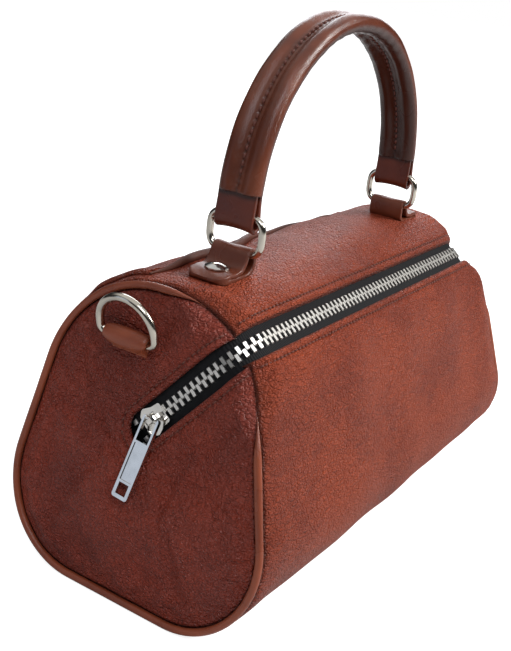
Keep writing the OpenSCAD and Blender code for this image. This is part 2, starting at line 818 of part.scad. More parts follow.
// Strap loop: a tongue inside the cover, the leg below it, and the fold round the ring's bar
loop_r = ring_wire_d / 2 + pin_gap + strap_t;
loop_slot_w = 1.4;
cover_gap_angle = 0.2;
module strap_loop() {
    low_z = hinge_z - strap_loop_drop;
    root_half = strap_leg_t / 2 - seat_gap;
    color(trim_col)
    difference() {
        union() {
            arch_about(0, cover_end_angle - cover_gap_angle)
                square([strap_leg_t, strap_w], center = true);
            arch_about(cover_end_angle - 2 * cover_gap_angle, tongue_angle)
                square([tongue_t, 2 * edge_y + tongue_t], center = true);
            translate([ring_x, 0, 0])
                rotate([90, 0, 0])
                    linear_extrude(height = strap_w, center = true)
                        union() {
                            translate([0, low_z]) circle(r = loop_r);
                            polygon([[-loop_r, low_z], [loop_r, low_z], [loop_r, hinge_z],
                                [root_half, arch_z], [root_half, arch_z + overrun],
                                [-root_half, arch_z + overrun], [-root_half, arch_z], [-loop_r, hinge_z]]);
                        }
        }
        translate([ring_x, 0, hinge_z])
            rotate([90, 0, 0])
                cylinder(d = ring_wire_d + 2 * pin_gap, h = 2 * strap_w, center = true);
        translate([ring_x - loop_slot_w / 2, -strap_w, low_z - loop_slot_w / 2])
            cube([loop_slot_w, 2 * strap_w, strap_loop_drop + loop_slot_w / 2]);
    }
}

// Strap ring and its loop, in the frame of the leaning end: X outwards, Z up along the panel
dee_roll_r = dee_wire_d / 2 + pin_gap + tab_t;
dee_off = dee_roll_r + seat_gap;
dee_corner_r = 3;
dee_bar_half = dee_r - dee_corner_r;
panel_out = leather_t - pipe_r;
module dee_frame() {
    translate([half_len(strap_ring_z) + panel_out, dee_back, strap_ring_z])
        rotate([0, -end_tilt, 0])
            translate([dee_off, 0, 0])
                children();
}
dee_foot_t = 2.2;
dee_foot_in = dee_roll_r * cos(roll_lap / 2);
module dee_tab() {
    color(trim_col)
    dee_frame()
        rotate([90, 0, 0])
            difference() {
                linear_extrude(height = dee_tab_w, center = true)
                    union() {
                        circle(r = dee_roll_r);
                        polygon([[-dee_foot_in, 0], [-dee_foot_in, -dee_tab_len], [dee_foot_t - dee_roll_r, -dee_tab_len],
                            [dee_foot_in, 0]]);
                    }
                cylinder(d = dee_wire_d + 2 * pin_gap, h = 2 * dee_tab_w, center = true);
            }
}
module dee_ring() {
    color(metal_col)
    dee_frame()
        rotate([0, dee_stand, 0])
            rotate([90, 0, 90])
                for (side = [0, 1]) mirror([side, 0, 0]) {
                    rotate([0, 90, 0])
                        cylinder(d = dee_wire_d, h = dee_bar_half);
                    translate([dee_bar_half, dee_corner_r, 0])
                        wire_arc(dee_corner_r, -90, 0, dee_wire_d);
                    translate([dee_r, dee_corner_r, 0])
                        rotate([-90, 0, 0])
                            cylinder(d = dee_wire_d, h = dee_side);
                    translate([0, dee_corner_r + dee_side, 0])
                        wire_arc(dee_r, 0, 90, dee_wire_d);
                }
}

module on_left() {
    mirror([1, 0, 0]) children();
}
module at_handle() {
    translate([0, -handle_front, 0]) children();
}

main_panel();
on_left() end_panel();  // left_end_panel
end_panel();  // right_end_panel
on_left() piping();  // left_piping
piping();  // right_piping
back_pocket();
pocket_binding();
lining();
base_board();
zip_tape_upper();
zip_tape_lower();
zip_teeth_upper();
zip_teeth_lower();
zip_stops();
zip_slider();
zip_puller();
on_left() at_handle() handle_tab();  // left_handle_tab
at_handle() handle_tab();  // right_handle_tab
on_left() at_handle() tab_rivet();  // left_tab_rivet
at_handle() tab_rivet();  // right_tab_rivet
on_left() at_handle() handle_ring();  // left_handle_ring
at_handle() handle_ring();  // right_handle_ring
at_handle() handle_cover();
at_handle() handle_filler();
on_left() at_handle() strap_loop();  // left_strap_loop
at_handle() strap_loop();  // right_strap_loop
on_left() dee_tab();  // left_dee_tab
dee_tab();  // right_dee_tab
on_left() dee_ring();  // left_dee_ring
dee_ring();  // right_dee_ring
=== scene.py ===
"""Looks for a barrel bag: grained leather, folded and stitched edges, a metal zip, a padded handle and rings."""

import math

import bmesh
import bpy
import numpy as np
from mathutils import Matrix, Vector, geometry


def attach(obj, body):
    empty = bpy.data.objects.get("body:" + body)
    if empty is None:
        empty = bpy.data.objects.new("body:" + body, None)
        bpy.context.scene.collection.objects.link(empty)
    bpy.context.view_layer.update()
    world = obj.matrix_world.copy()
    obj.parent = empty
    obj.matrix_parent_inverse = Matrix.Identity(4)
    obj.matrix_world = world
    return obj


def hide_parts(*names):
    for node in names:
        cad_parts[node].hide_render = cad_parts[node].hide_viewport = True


bl_info = {
    "name": "Barrel bag",
    "version": (1, 0, 0),
    "blender": (4, 5, 0),
    "location": "View3D > Sidebar > Bag",
    "description": "Dresses the solids of a barrel bag in leather, thread, cloth and metal",
    "category": "Object",
}

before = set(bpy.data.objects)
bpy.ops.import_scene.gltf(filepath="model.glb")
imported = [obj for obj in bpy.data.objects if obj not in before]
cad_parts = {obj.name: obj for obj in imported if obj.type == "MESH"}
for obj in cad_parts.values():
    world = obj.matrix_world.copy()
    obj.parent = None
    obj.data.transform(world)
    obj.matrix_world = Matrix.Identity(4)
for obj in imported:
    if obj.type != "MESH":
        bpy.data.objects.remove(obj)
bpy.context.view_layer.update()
MM = 0.001
TAU = 2 * math.pi
SIDES = ((-1, "left"), (1, "right"))

# Sizes of the solids, in millimetres, as part.scad has them; a corner of the end view is (y, z, radius)
BODY_H = 135.0
BASE_LEN = 277.0
CREST_LEN = 225.0
LEAN = (BASE_LEN - CREST_LEN) / 2 / BODY_H
TILT = math.atan(LEAN)
CREST_R = 45.5
CREST_Y = -6.8
CORNERS = ((-28.4, 38.7, 38.7), (24.3, 41.3, 41.3), (5.0, 82.0, 53.0), (CREST_Y, 89.5, CREST_R))
PIPE_R = 1.65
CORD_START = 26.0
ZIP_CROSS = math.radians(46.5)
ZIP_ANGLE = math.radians(50.0)
ZIP_HALF = 6.85
ZIP_DROP = 67.0
ZIP_Y = CREST_Y - CREST_R * (math.cos(ZIP_CROSS) - math.cos(ZIP_ANGLE))
ZIP_Z = BODY_H - CREST_R + CREST_R * (math.sin(ZIP_CROSS) - math.sin(ZIP_ANGLE))
SLOT_FLOOR = CREST_R - ZIP_DROP + ZIP_HALF
SLANT = math.atan(LEAN * math.sin(ZIP_ANGLE))
UNDER_LIP = 3.9
TURN_R = 16.0
TAPE_HALF = 9.5
SLIDER_RISE = 12.5
HANDLE_Y = -3.0
RING_X = 75.5
RING_HALF = 12.7
RING_WIRE = 1.6
SEAT_Z = 144.0
HINGE_Z = 161.0
ARCH_Z = 164.0
STRAP_HALF = 9.6
TAB_TAIL = 21.5
DEE_Y = 14.0
DEE_Z = 110.5
DEE_ROLL = 1.8 + 0.06 + 2.2
POCKET_LOW_Z = 24.0
POCKET_MOUTH_Y = 19.0
POCKET_MARGIN = 7.0

# Sizes of the looks, in millimetres
CORNER_R = 17.0
STITCH_IN = 3.4
STITCH_OUT = 0.12
HANDLE_PITCH = 3.3
WRAP_T = 1.5
END_T = 1.3
END_STEP = 1.9
LINING_IN = 2.6
LINING_T = 0.4


def half_len(z):
    """Half the bag's length at a height, to the middle of the piping."""
    return BASE_LEN / 2 - LEAN * z


def facing(a, b):
    """Direction in which the common tangent of two corners faces, in radians."""
    dy, dz = b[0] - a[0], b[1] - a[1]
    return math.atan2(dz, dy) - math.acos((a[2] - b[2]) / math.hypot(dy, dz))


def zip_point(along, out):
    """Point of the end view from zip coordinates: along is towards the lower side, out is outwards."""
    return (ZIP_Y - out * math.cos(ZIP_ANGLE) - along * math.sin(ZIP_ANGLE),
            ZIP_Z + out * math.sin(ZIP_ANGLE) - along * math.cos(ZIP_ANGLE))


def zip_coords(y, z):
    """Zip coordinates (along, out) of points of the end view."""
    dy, dz = y - ZIP_Y, z - ZIP_Z
    return (-dy * math.sin(ZIP_ANGLE) - dz * math.cos(ZIP_ANGLE),
            -dy * math.cos(ZIP_ANGLE) + dz * math.sin(ZIP_ANGLE))


def unit(v):
    """Vectors at length 1."""
    return v / np.linalg.norm(v, axis=-1, keepdims=True)


def run_along(pts):
    """Distances along a line to each of its points."""
    return np.concatenate([[0], np.cumsum(np.hypot(*np.diff(pts, axis=0).T))])


def laid(at, run, pts):
    """Points at distances along a line."""
    return np.stack([np.interp(at, run, pts[:, 0]), np.interp(at, run, pts[:, 1])], -1)


def end_view():
    """Points, outward directions and distances round the end view, from the zip's middle down the front."""
    arcs = [(c, facing(CORNERS[i - 1], c), facing(c, CORNERS[(i + 1) % 4])) for i, c in enumerate(CORNERS)]
    crest, first, last = arcs[3]
    cross = math.pi - ZIP_CROSS
    pts, dirs = [], []
    for corner, start, stop in ((crest, cross, last), *arcs[:3], (crest, first, cross)):
        while stop < start:
            stop += TAU
        for a in start + (stop - start) * np.arange(41) / 40:
            dirs.append((math.cos(a), math.sin(a)))
            pts.append((corner[0] + corner[2] * math.cos(a), corner[1] + corner[2] * math.sin(a)))
    return np.array(pts), np.array(dirs), run_along(np.array(pts))


VIEW_PTS, VIEW_DIRS, VIEW_DIST = end_view()
ROUND = float(VIEW_DIST[-1])


def at_round(dist):
    """Points and outward directions of the end view at distances from the zip's middle."""
    return laid(dist, VIEW_DIST, VIEW_PTS), unit(laid(dist, VIEW_DIST, VIEW_DIRS))


DENSE_DIST = np.linspace(0, ROUND, 1300)
DENSE_PTS, DENSE_DIRS = at_round(DENSE_DIST)


def smooth(x):
    """Eases from 0 to 1."""
    x = np.clip(x, 0, 1)
    return x * x * (3 - 2 * x)


def bump(x, width):
    """A soft bump of height 1 at 0."""
    return np.exp(-(x / width) ** 2)


def rounded(x, least=0.0):
    """Rises from 0 to 1 as a quarter circle does."""
    return np.sqrt(np.clip(1 - (1 - np.clip(x, 0, 1)) ** 2, least, 1))


def waves(p, q, seed, count=5, size=40.0):
    """A smooth uneven field of about unit height over two coordinates in millimetres."""
    rng = np.random.default_rng(seed)
    total = np.zeros(np.broadcast(p, q).shape)
    for _ in range(count):
        angle = rng.uniform(0, math.pi)
        k = TAU / (size * rng.uniform(0.7, 1.6))
        total = total + np.sin(k * (math.cos(angle) * p + math.sin(angle) * q) + rng.uniform(0, 6.283))
    return total / math.sqrt(count) / 1.2


def raised(pos, n, by):
    """Points [x, y, z] moved outwards along directions (y, z) of the end view."""
    pos = pos.copy()
    pos[..., 1:] += n * np.expand_dims(by, -1)
    return pos


# Making meshes

def make_active(*pieces):
    """Object mode, with only these pieces selected and the first of them active."""
    if bpy.context.object and bpy.context.object.mode != "OBJECT":
        bpy.ops.object.mode_set(mode="OBJECT")
    bpy.ops.object.select_all(action="DESELECT")
    for piece in pieces:
        piece.select_set(True)
        bpy.context.view_layer.objects.active = pieces[0]


def edited(piece, *steps):
    """Runs edit mode operators on a piece, each given as (name, settings)."""
    make_active(piece)
    bpy.ops.object.mode_set(mode="EDIT")
    for name, settings in steps:
        getattr(bpy.ops.mesh, name)(**settings)
    bpy.ops.object.mode_set(mode="OBJECT")


ALL = ("select_all", {"action": "SELECT"})
NONE = ("select_all", {"action": "DESELECT"})
OUTWARD = ("normals_make_consistent", {"inside": False})


def refill(piece, verts, faces):
    """Gives a piece new vertices, in metres, and faces."""
    bm = bmesh.new()
    made = [bm.verts.new(v) for v in verts]
    for face in faces:
        bm.faces.new([made[i] for i in face])
    bm.to_mesh(piece.data)
    bm.free()
    piece.data.update()


def mark_crease_shade(piece, values):
    """Stores how much painted shade each vertex gets in its crease, 0 to 1."""
    layer = piece.data.attributes.new("crease", "FLOAT", "POINT")
    layer.data.foreach_set("value", np.asarray(values, float).reshape(-1))


def tube(name, rings, caps=True, shade_marks=None):
    """A closed tube from rings of points [station][round] in millimetres, capped at both ends."""
    rings = np.asarray(rings, float)
    pts = np.concatenate([rings, rings[:, :1]], axis=1).transpose(1, 0, 2) * MM
    rounds, stations = pts.shape[:2]
    make_active()
    bpy.ops.mesh.primitive_grid_add(x_subdivisions=stations - 1, y_subdivisions=rounds - 1, size=1)
    piece = bpy.context.object
    piece.name = piece.data.name = name
    piece.data.vertices.foreach_set("co", pts.reshape(-1))
    piece.data.update()
    # Painted crease shade, stored on the mesh for the material
    if shade_marks is not None:
        mark_crease_shade(piece, np.concatenate([shade_marks, shade_marks[:, :1]], axis=1).T)
    bm = bmesh.new()
    bm.from_mesh(piece.data)
    bm.verts.ensure_lookup_table()
    last = (rounds - 1) * stations
    bmesh.ops.weld_verts(bm, targetmap={bm.verts[last + j]: bm.verts[j] for j in range(stations)})
    bm.to_mesh(piece.data)
    bm.free()
    if caps:
        edited(piece, ("select_mode", {"type": "EDGE"}), NONE, ("select_non_manifold", {}),
               ("fill_holes", {"sides": 0}))
    edited(piece, ALL, ("remove_doubles", {"threshold": 1e-7}), OUTWARD, NONE)
    return piece


def shell(name, outer, inner, shade_marks=None):
    """A closed sheet from its outer and inner surface, both [round][along]."""
    if shade_marks is not None:
        shade_marks = np.concatenate([shade_marks, shade_marks[::-1]]).T
    return tube(name, np.concatenate([outer, inner[::-1]]).transpose(1, 0, 2), shade_marks=shade_marks)


def wire(centre, out, across, radius, count):
    """Rings of points [station][round] round a line, from its two cross directions."""
    centre = np.asarray(centre, float)
    out, across = (np.broadcast_to(v, centre.shape)[:, None] for v in (out, across))
    a = np.linspace(0, TAU, count, endpoint=False)[:, None]
    return centre[:, None] + np.reshape(radius, (-1, 1, 1)) * (np.cos(a) * out + np.sin(a) * across)


def dress(piece, angle, body, slot, material, *nodes):
    """Smooth shading up to an angle, material, body and the solids that the piece stands for; slot is not used."""
    make_active(piece)
    bpy.ops.object.shade_smooth_by_angle(angle=math.radians(angle))
    piece.data.materials.clear()
    piece.data.materials.append(material_named(material))
    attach(piece, body)
    if nodes:
        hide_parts(*nodes)


# Making materials

def arithmetic(operation, swapped=False):
    """An operator of Value that makes a Math node."""
    def run(self, other):
        return self.maker.node("ShaderNodeMath", {"operation": operation}, (other, self) if swapped else (self, other))
    return run


class Value:
    """A node's output, with arithmetic that makes Math nodes."""

    def __init__(self, maker, link):
        self.maker, self.link = maker, link

    __add__ = __radd__ = arithmetic("ADD")
    __mul__ = __rmul__ = arithmetic("MULTIPLY")
    __sub__, __rsub__ = arithmetic("SUBTRACT"), arithmetic("SUBTRACT", True)
    __pow__ = arithmetic("POWER")

    def span(self, low, high, to_low=0.0, to_high=1.0):
        """Maps low..high to another span, clamped and eased."""
        return self.maker.node("ShaderNodeMapRange", {"interpolation_type": "SMOOTHSTEP"},
                               (self, low, high, to_low, to_high))


class Maker:
    """Builds the nodes of a material, or of the world."""

    def __init__(self, owner):
        owner.use_nodes = True
        self.tree = owner.node_tree

    def feed(self, socket, value):
        """Links a socket, or sets it."""
        if isinstance(value, Value):
            self.tree.links.new(value.link, socket)
        else:
            socket.default_value = (*value, 1) if socket.type == "RGBA" else value

    def node(self, kind, settings=None, inputs=(), output=0):
        """One node: its settings first, then the values or links of its sockets."""
        made = self.tree.nodes.new(kind)
        for key, value in (settings or {}).items():
            setattr(made, key, value)
        for key, value in inputs.items() if isinstance(inputs, dict) else enumerate(inputs):
            self.feed(made.inputs[key], value)
        return Value(self, made.outputs[output])

    def place(self, scale=(1, 1, 1), turn=(0, 0, 0)):
        """Object coordinates, scaled and turned."""
        coords = self.node("ShaderNodeTexCoord", output="Object")
        return self.node("ShaderNodeMapping", {}, {"Vector": coords, "Scale": scale, "Rotation": turn})

    def noise(self, vector, scale, detail=2.0, rough=0.5):
        return self.node("ShaderNodeTexNoise", {},
                         {"Vector": vector, "Scale": scale, "Detail": detail, "Roughness": rough})

    def cells(self, vector, scale):
        return self.node("ShaderNodeTexVoronoi", {"feature": "DISTANCE_TO_EDGE"}, {"Vector": vector, "Scale": scale})

    def wave(self, vector, direction="X", **sockets):
        return self.node("ShaderNodeTexWave", {"bands_direction": direction}, {"Vector": vector, **sockets}, "Fac")

    def mix(self, factor, low, high):
        return self.node("ShaderNodeMix", {"data_type": "RGBA"}, {0: factor, 6: low, 7: high}, 2)

    def relief(self, height, depth):
        """Bump from a height field of unit size, depth in metres."""
        return self.node("ShaderNodeBump", {}, {"Strength": 1.0, "Distance": depth, "Height": height})

    def paint_crease_shade(self, base, dark):
        """Paints shade into a colour in the creases marked on the mesh."""
        crease = self.node("ShaderNodeAttribute", {"attribute_name": "crease"}, output="Fac")
        return self.mix(crease * 0.8, base, shaded(dark, 0.12))


def material(name, make, *settings, **more):
    """A new material around a Principled shader, whose sockets take what make gives, _ standing for a space."""
    mat = bpy.data.materials.new(name)
    m = Maker(mat)
    m.tree.nodes.clear()
    shader = m.tree.nodes.new("ShaderNodeBsdfPrincipled")
    m.tree.links.new(shader.outputs[0], m.tree.nodes.new("ShaderNodeOutputMaterial").inputs[0])
    for key, value in make(m, *settings, **more).items():
        m.feed(shader.inputs[key.replace("_", " ")], value)
    return mat


def linear(r, g, b):
    """A colour written as sRGB out of 255, as the shader wants it."""
    return tuple(c / 12.92 if c <= 0.04045 else ((c + 0.055) / 1.055) ** 2.4 for c in (r / 255, g / 255, b / 255))


def shaded(colour, by):
    """A colour times one factor, or a factor for each channel."""
    return tuple(np.multiply(tuple(colour), by))


def grained_leather(m, colour, dark, grain=800.0, depth=0.0014, rough=0.42, shine=0.3, dirt=0.4):
    """Pebbled leather: rounded cells with creases between them, fine wrinkles, and shinier tops; painted shade darkens
    the creases between the cells.
    """
    at = m.place()
    cell = m.cells(m.place((0.62, 1.0, 1.25), (0.1, 0.05, 0.0)), grain)
    cell2 = m.cells(m.place((0.7, 1.1, 1.3), (0.3, 0.1, 0.4)), grain * 0.42)
    fine = m.noise(at, grain * 3.0, 3.0, 0.6)
    wrinkle = m.noise(m.place((1.0, 1.0, 2.6), (0.2, 0.0, 0.3)), 260.0, 3.0, 0.6)
    tops, big = cell.span(0.0, 0.3), cell2.span(0.0, 0.16)
    height = tops * 0.45 + big * 0.35 + fine * 0.1 + wrinkle.span(0.25, 0.6) * 0.6
    patch = m.noise(at, 22.0, 3.0, 0.55) * (1 - dirt) + m.noise(m.place((0.6, 1.0, 1.0)), 190.0, 3.0, 0.65) * dirt
    base = m.mix(patch.span(0.38, 0.62), shaded(dark, 0.92), shaded(colour, 1.08))
    # Painted shade: darkens the creases between the grain's cells. The same weight sets how much fine mottling the
    # patches get.
    base = m.mix((1 - tops * big) * dirt, base, shaded(dark, 0.55))
    worn = m.noise(at, 9.0, 2.0, 0.5).span(0.3, 0.7, rough - 0.06, rough + 0.08)
    return {"Base_Color": m.paint_crease_shade(base, dark), "Roughness": worn + (1 - tops) * 0.15,
            "Normal": m.relief(height, depth), "Specular_IOR_Level": shine}


def smooth_leather(m, colour, dark, rough, shadow=False):
    """Smooth leather with a fine grain and a slight shine, with painted shade inside the handle's arch if shadow."""
    at = m.place()
    patch = m.noise(at, 30.0, 3.0, 0.6)
    height = m.cells(at, 1900.0).span(0.0, 0.3) * 0.5 + m.noise(at, 2600.0, 2.0, 0.6) * 0.5
    base = m.mix(patch.span(0.32, 0.68), dark, colour)
    if shadow:
        x, z = (m.node("ShaderNodeSeparateXYZ", {}, [at], k) for k in (0, 2))
        up = z - ARCH_Z * MM
        reach = (x * x + up * up) ** 0.5
        # Painted shade: darker inside the handle's arch, where little light reaches
        base = m.mix(reach.span((RING_X - 2.0) * MM, (RING_X + 1.0) * MM), shaded(dark, 0.5), base)
    return {"Base_Color": m.paint_crease_shade(base, dark), "Roughness": patch.span(0.3, 0.7, rough - 0.05, rough + 0.08),
            "Normal": m.relief(height, 0.00006), "Specular_IOR_Level": 0.4}


def metal(m, colour, rough):
    """Plated metal with faint wear."""
    spots = m.noise(m.place(), 160.0)
    return {"Base_Color": m.mix(spots.span(0.35, 0.75), colour, shaded(colour, 0.88)),
            "Roughness": spots.span(0.3, 0.8, rough, rough + 0.05), "Metallic": 1.0}


def tape_cloth(m, colour):
    """Herringbone tape: fine diagonal ribs."""
    at = m.place()
    rib = m.wave(at, Scale=330.0, Distortion=1.5, Detail=1.0, **{"Detail Scale": 2.0})
    fuzz = m.noise(at, 3000.0)
    return {"Base_Color": m.mix(rib * 0.5 + fuzz * 0.5, colour, shaded(colour, 1.8)), "Roughness": 0.7,
            "Normal": m.relief(rib + fuzz * 0.4, 0.00012), "Specular_IOR_Level": 0.2}


def plain_cloth(m, colour):
    """Plain woven cloth."""
    at = m.place()
    warp, weft = m.wave(at, Scale=420.0), m.wave(at, "Z", Scale=420.0)
    fuzz = m.noise(at, 1500.0)
    return {"Base_Color": m.mix(warp * weft + fuzz * 0.3, colour, shaded(colour, 1.6)), "Roughness": 0.85,
            "Normal": m.relief(warp + weft, 0.0001)}


def thread(m, colour):
    """Sewing thread with its twist."""
    ply = m.noise(m.place(), 2500.0, 1.0)
    return {"Base_Color": m.mix(ply, shaded(colour, 0.7), colour), "Roughness": 0.55,
            "Normal": m.relief(ply, 0.00008)}


def pale_floor(m, grey, seen_grey):
    """A matt floor that the camera sees nearly white."""
    seen = m.node("ShaderNodeLightPath", output="Is Camera Ray")
    return {"Base_Color": (grey,) * 3, "Roughness": 0.9, "Specular_IOR_Level": 0.1, "Emission_Strength": 1.0,
            "Emission_Color": m.mix(seen, (0.0,) * 3, (seen_grey,) * 3)}


def a_length(name, description, default, high, low=0.0):
    """A length for the panel, given here in millimetres and kept in metres."""
    return bpy.props.FloatProperty(name=name, description=description, default=default * MM, min=low * MM,
                                   max=high * MM, precision=4, unit="LENGTH")


class BagSizes(bpy.types.PropertyGroup):
    """Sizes of the soft pieces that a user would change."""
    pillow: a_length("End bulge", "How far each end bulges below the zip", 4.6, 6)
    front_bulge: a_length("Front bulge", "How far the front swells", 1.6, 6)
    dents: a_length("Dents", "Depth of the soft unevenness", 0.7, 3)
    stitch: a_length("Stitch length", "Distance from stitch to stitch", 2.8, 6, 2)


def size(name):
    """A size from the panel in millimetres, rounded as a property rounds."""
    return float(np.float32(round(getattr(bpy.context.scene.bag_sizes, name) / MM, 4)))


def a_colour(name, description, default):
    """A colour for the panel."""
    return bpy.props.FloatVectorProperty(name=name, description=description, subtype="COLOR", size=3, min=0, max=1,
                                         default=default)


class BagColours(bpy.types.PropertyGroup):
    """Colours of the bag's materials."""
    wrap: a_colour("Wrap", "Leather of the front, base and back", linear(160, 66, 33))
    # The darker colours also give the painted shade in the creases and inside the handle's arch
    wrap_dark: a_colour("Wrap, darker", "Its darker patches", linear(143, 55, 28))
    ends: a_colour("Ends", "Leather of the end panels", linear(144, 55, 36))
    ends_dark: a_colour("Ends, darker", "Their darker patches", linear(127, 48, 33))
    trim: a_colour("Trim", "Smooth leather of handle, tabs and piping", linear(112, 55, 34))
    trim_dark: a_colour("Trim, darker", "Its darker patches", linear(92, 43, 27))
    metal: a_colour("Metal", "Plating of the zip and rings", (0.76, 0.74, 0.70))
    tape: a_colour("Tape", "Cloth of the zip", linear(13, 13, 15))
    lining: a_colour("Lining", "Cloth inside", linear(70, 58, 48))
    thread: a_colour("Thread", "Sewing thread", linear(108, 53, 39))


# Smooth leathers: factors on the trim's two colours, and roughness. They are lit and shaded copies of one leather: the
# piping's lighter copy is a painted highlight, the handle's paler, bluer copy a painted sheen, and the strap's and
# binding's darker copies are painted shade.
TRIMS = (("Trim leather", 1, 1, 0.3),
         ("Handle leather", (1.0, 1.1, 1.15), (0.85, 0.95, 1.1), 0.22),
         ("Strap leather", (0.8, 0.58, 0.48), (0.75, 0.52, 0.42), 0.28),
         ("Piping leather", 1.8, 1.8, 0.28),
         ("Binding leather", 0.55, 0.5, 0.6))


def material_named(name):
    """A material by name; all of them are made on the first call."""
    if "Wrap leather" not in bpy.data.materials:
        c = bpy.context.scene.bag_colours
        material("Wrap leather", grained_leather, c.wrap, c.wrap_dark)
        # The end leather gets less fine mottling and less painted shade in its grain creases.
        material("End leather", grained_leather, c.ends, c.ends_dark, grain=560.0, depth=0.0011, rough=0.33,
                 shine=0.36, dirt=0.25)
        for trim, light, dark, rough in TRIMS:
            material(trim, smooth_leather, shaded(c.trim, light), shaded(c.trim_dark, dark), rough,
                     shadow=trim == "Handle leather")
        material("Plated metal", metal, c.metal, 0.1)
        # Ring metal is the plating tinted warmer and darker, a painted reflection of the brown leather round it
        material("Ring metal", metal, shaded(c.metal, (0.84, 0.8, 0.73)), 0.12)
        material("Tooth metal", metal, shaded(c.metal, 0.95), 0.36)
        material("Zip cloth", tape_cloth, c.tape)
        material("Lining cloth", plain_cloth, c.lining)
        material("Filler cord", plain_cloth, linear(196, 188, 172))
        material("Sewing thread", thread, c.thread)
    return bpy.data.materials[name]


# Surfaces that several pieces share

def from_zip(dist):
    """Distance round the end view from the zip's middle, whichever way is shorter."""
    return np.minimum(dist, ROUND - dist)


def near_zip(dist):
    """Distance round the end view from the zip's opening."""
    return from_zip(dist) - ZIP_HALF


def cord_radius(dist):
    """Radius of the seam cord, which sinks into the seam as it comes near the zip."""
    return PIPE_R * smooth((from_zip(dist) - CORD_START) / 20.0)


def corner_share(near):
    """1 where the zip crosses the end's edge, falling to 0 where the seam cord shows in full."""
    return 1 - smooth((near - 10.0) / 28.0)


def corner_size(side, near):
    """The left corner is the rounder one; on the right only the lips follow the zip round."""
    return np.where(side < 0, 1.0, 0.5 + 0.6 * (1 - smooth(near / 10.0)))


def corner_cut(dist):
    """How far a rounded corner stands back from the sharp one."""
    return (1 - math.sqrt(0.5)) * CORNER_R * corner_share(near_zip(dist))


def rounded_corner(inside, share):
    """Where a point at a distance inside the sharp edge goes on the rounded corner: (further inside, lower)."""
    r = np.maximum(CORNER_R * share, 1e-6)
    angle = math.pi / 4 * (1 - np.clip(inside / r, 0, 1))
    back = np.where(inside < r, r * (1 - np.sin(angle)), inside)
    return back - inside, np.where(inside < r, r * (1 - np.cos(angle)), 0.0)


def lip_level(along):
    """How far the leather lies below its plain surface near a lip, by distance from the lip."""
    roll = 1.4
    return roll * (1 - rounded(along / roll)) - 0.45 * bump(along - 1.9, 1.1)


def sewn_level(across, along, pitch):
    """Depth of the groove that a row of stitches draws, with a dimple at each stitch."""
    return bump(across, 0.8) * (0.42 + 0.36 * np.cos(TAU * along / pitch))


def crease_shade_at(seam, lip, along):
    """How much painted shade the leather's creases get: its seam's edge, the fold at the lip and the row of stitches.
    """
    sewn = bump(lip - STITCH_IN, 0.8) * (0.3 + 0.3 * np.cos(TAU * along / size("stitch")))
    return np.clip(bump(seam, 0.75) + 0.6 * bump(lip, 0.4) + sewn, 0, 1)


def wrap_surface(dist, share):
    """Outer surface of the wrap, [x, y, z], and its outward direction. share runs from -1 to 1 along the bag."""
    p, n = at_round(dist)
    y, z = p[..., 0], p[..., 1]
    near = near_zip(dist)
    corner = corner_share(near)
    end = half_len(z) - cord_radius(dist) * (1 - corner) - 0.1
    edge = (1 - np.abs(share)) * end
    inside, low_by = rounded_corner(edge, corner * corner_size(share, near))
    x = np.sign(share) * (np.abs(share) * end - inside)
    free = smooth((z - 2) / 25)
    swell = size("front_bulge") * (1 - share ** 4) * smooth(near / 30) + 0.9 * bump(edge - 9, 8) * smooth(near / 12)
    uneven = size("dents") * waves(x, dist, 11, 6, 62.0) * smooth(near / 18) * smooth(edge / 14)
    pucker = 0.32 * np.sin(dist / 3.1 + 0.9 * np.sin(dist / 11.0)) * bump(edge - 6, 7.5) * smooth(near / 10)
    crown = 1.5 * bump(x - 62, 45) * bump(y - 2, 22) - 1.3 * bump(x + 48, 38) * smooth((y - 2) / 14)
    seam = (1.9 - 0.2 * corner) * (1 - rounded(edge / (2.6 - 1.5 * corner)))
    sewn = sewn_level(near - STITCH_IN, x, size("stitch"))
    out = (free * (swell + uneven + pucker) + smooth((z - 118) / 14) * smooth(near / 20) * crown
           - seam - lip_level(near) - sewn - low_by)
    pos = raised(np.stack([x, y, z], -1), n, out)
    pos[..., 2] = np.maximum(pos[..., 2], 0.0)
    return pos, n


class BAG_OT_wrap(bpy.types.Operator):
    """Make the wrap: one sheet of grained leather with folded lips along the zip"""
    bl_idname = "bag.wrap"
    bl_label = "Wrap"

    def execute(self, context):
        lip = np.array([0.0, 0.05, 0.2, 0.45, 0.8, 1.2, 1.9, 2.5, 2.95, 3.4, 3.85, 4.3, 5.0, 6.2])
        span = ROUND - 2 * ZIP_HALF
        middle = np.linspace(lip[-1] + 1.6, span - lip[-1] - 1.6, 104)
        seam = np.array([0.0, 0.001, 0.0025, 0.005, 0.008, 0.012, 0.017, 0.023, 0.031, 0.04])
        cols = np.concatenate([seam - 1, np.linspace(-0.95, 0.95, 312), 1 - seam[::-1]])
        dist, share = np.meshgrid(np.concatenate([lip, middle, span - lip[::-1]]) + ZIP_HALF, cols, indexing="ij")
        outer, n = wrap_surface(dist, share)
        hem = near_zip(dist)
        inner = raised(outer, n, -WRAP_T - 0.7 * (1 - smooth(hem / 1.2)))
        # Painted shade along the seam's edge, the fold at the lip and the stitches
        line = crease_shade_at((1 - np.abs(share)) * half_len(outer[..., 2]), hem, share * 120)
        piece = shell("wrap_leather", outer, inner, line)
        dress(piece, 60, "bag", "wrap_leather", "Wrap leather", "main_panel")
        return {"FINISHED"}


def slot_distance(y, z):
    """Distance from the slot's edge in an end panel."""
    u, v = zip_coords(y, z)
    return np.where(v > SLOT_FLOOR, np.abs(u), np.hypot(u, v - SLOT_FLOOR)) - ZIP_HALF


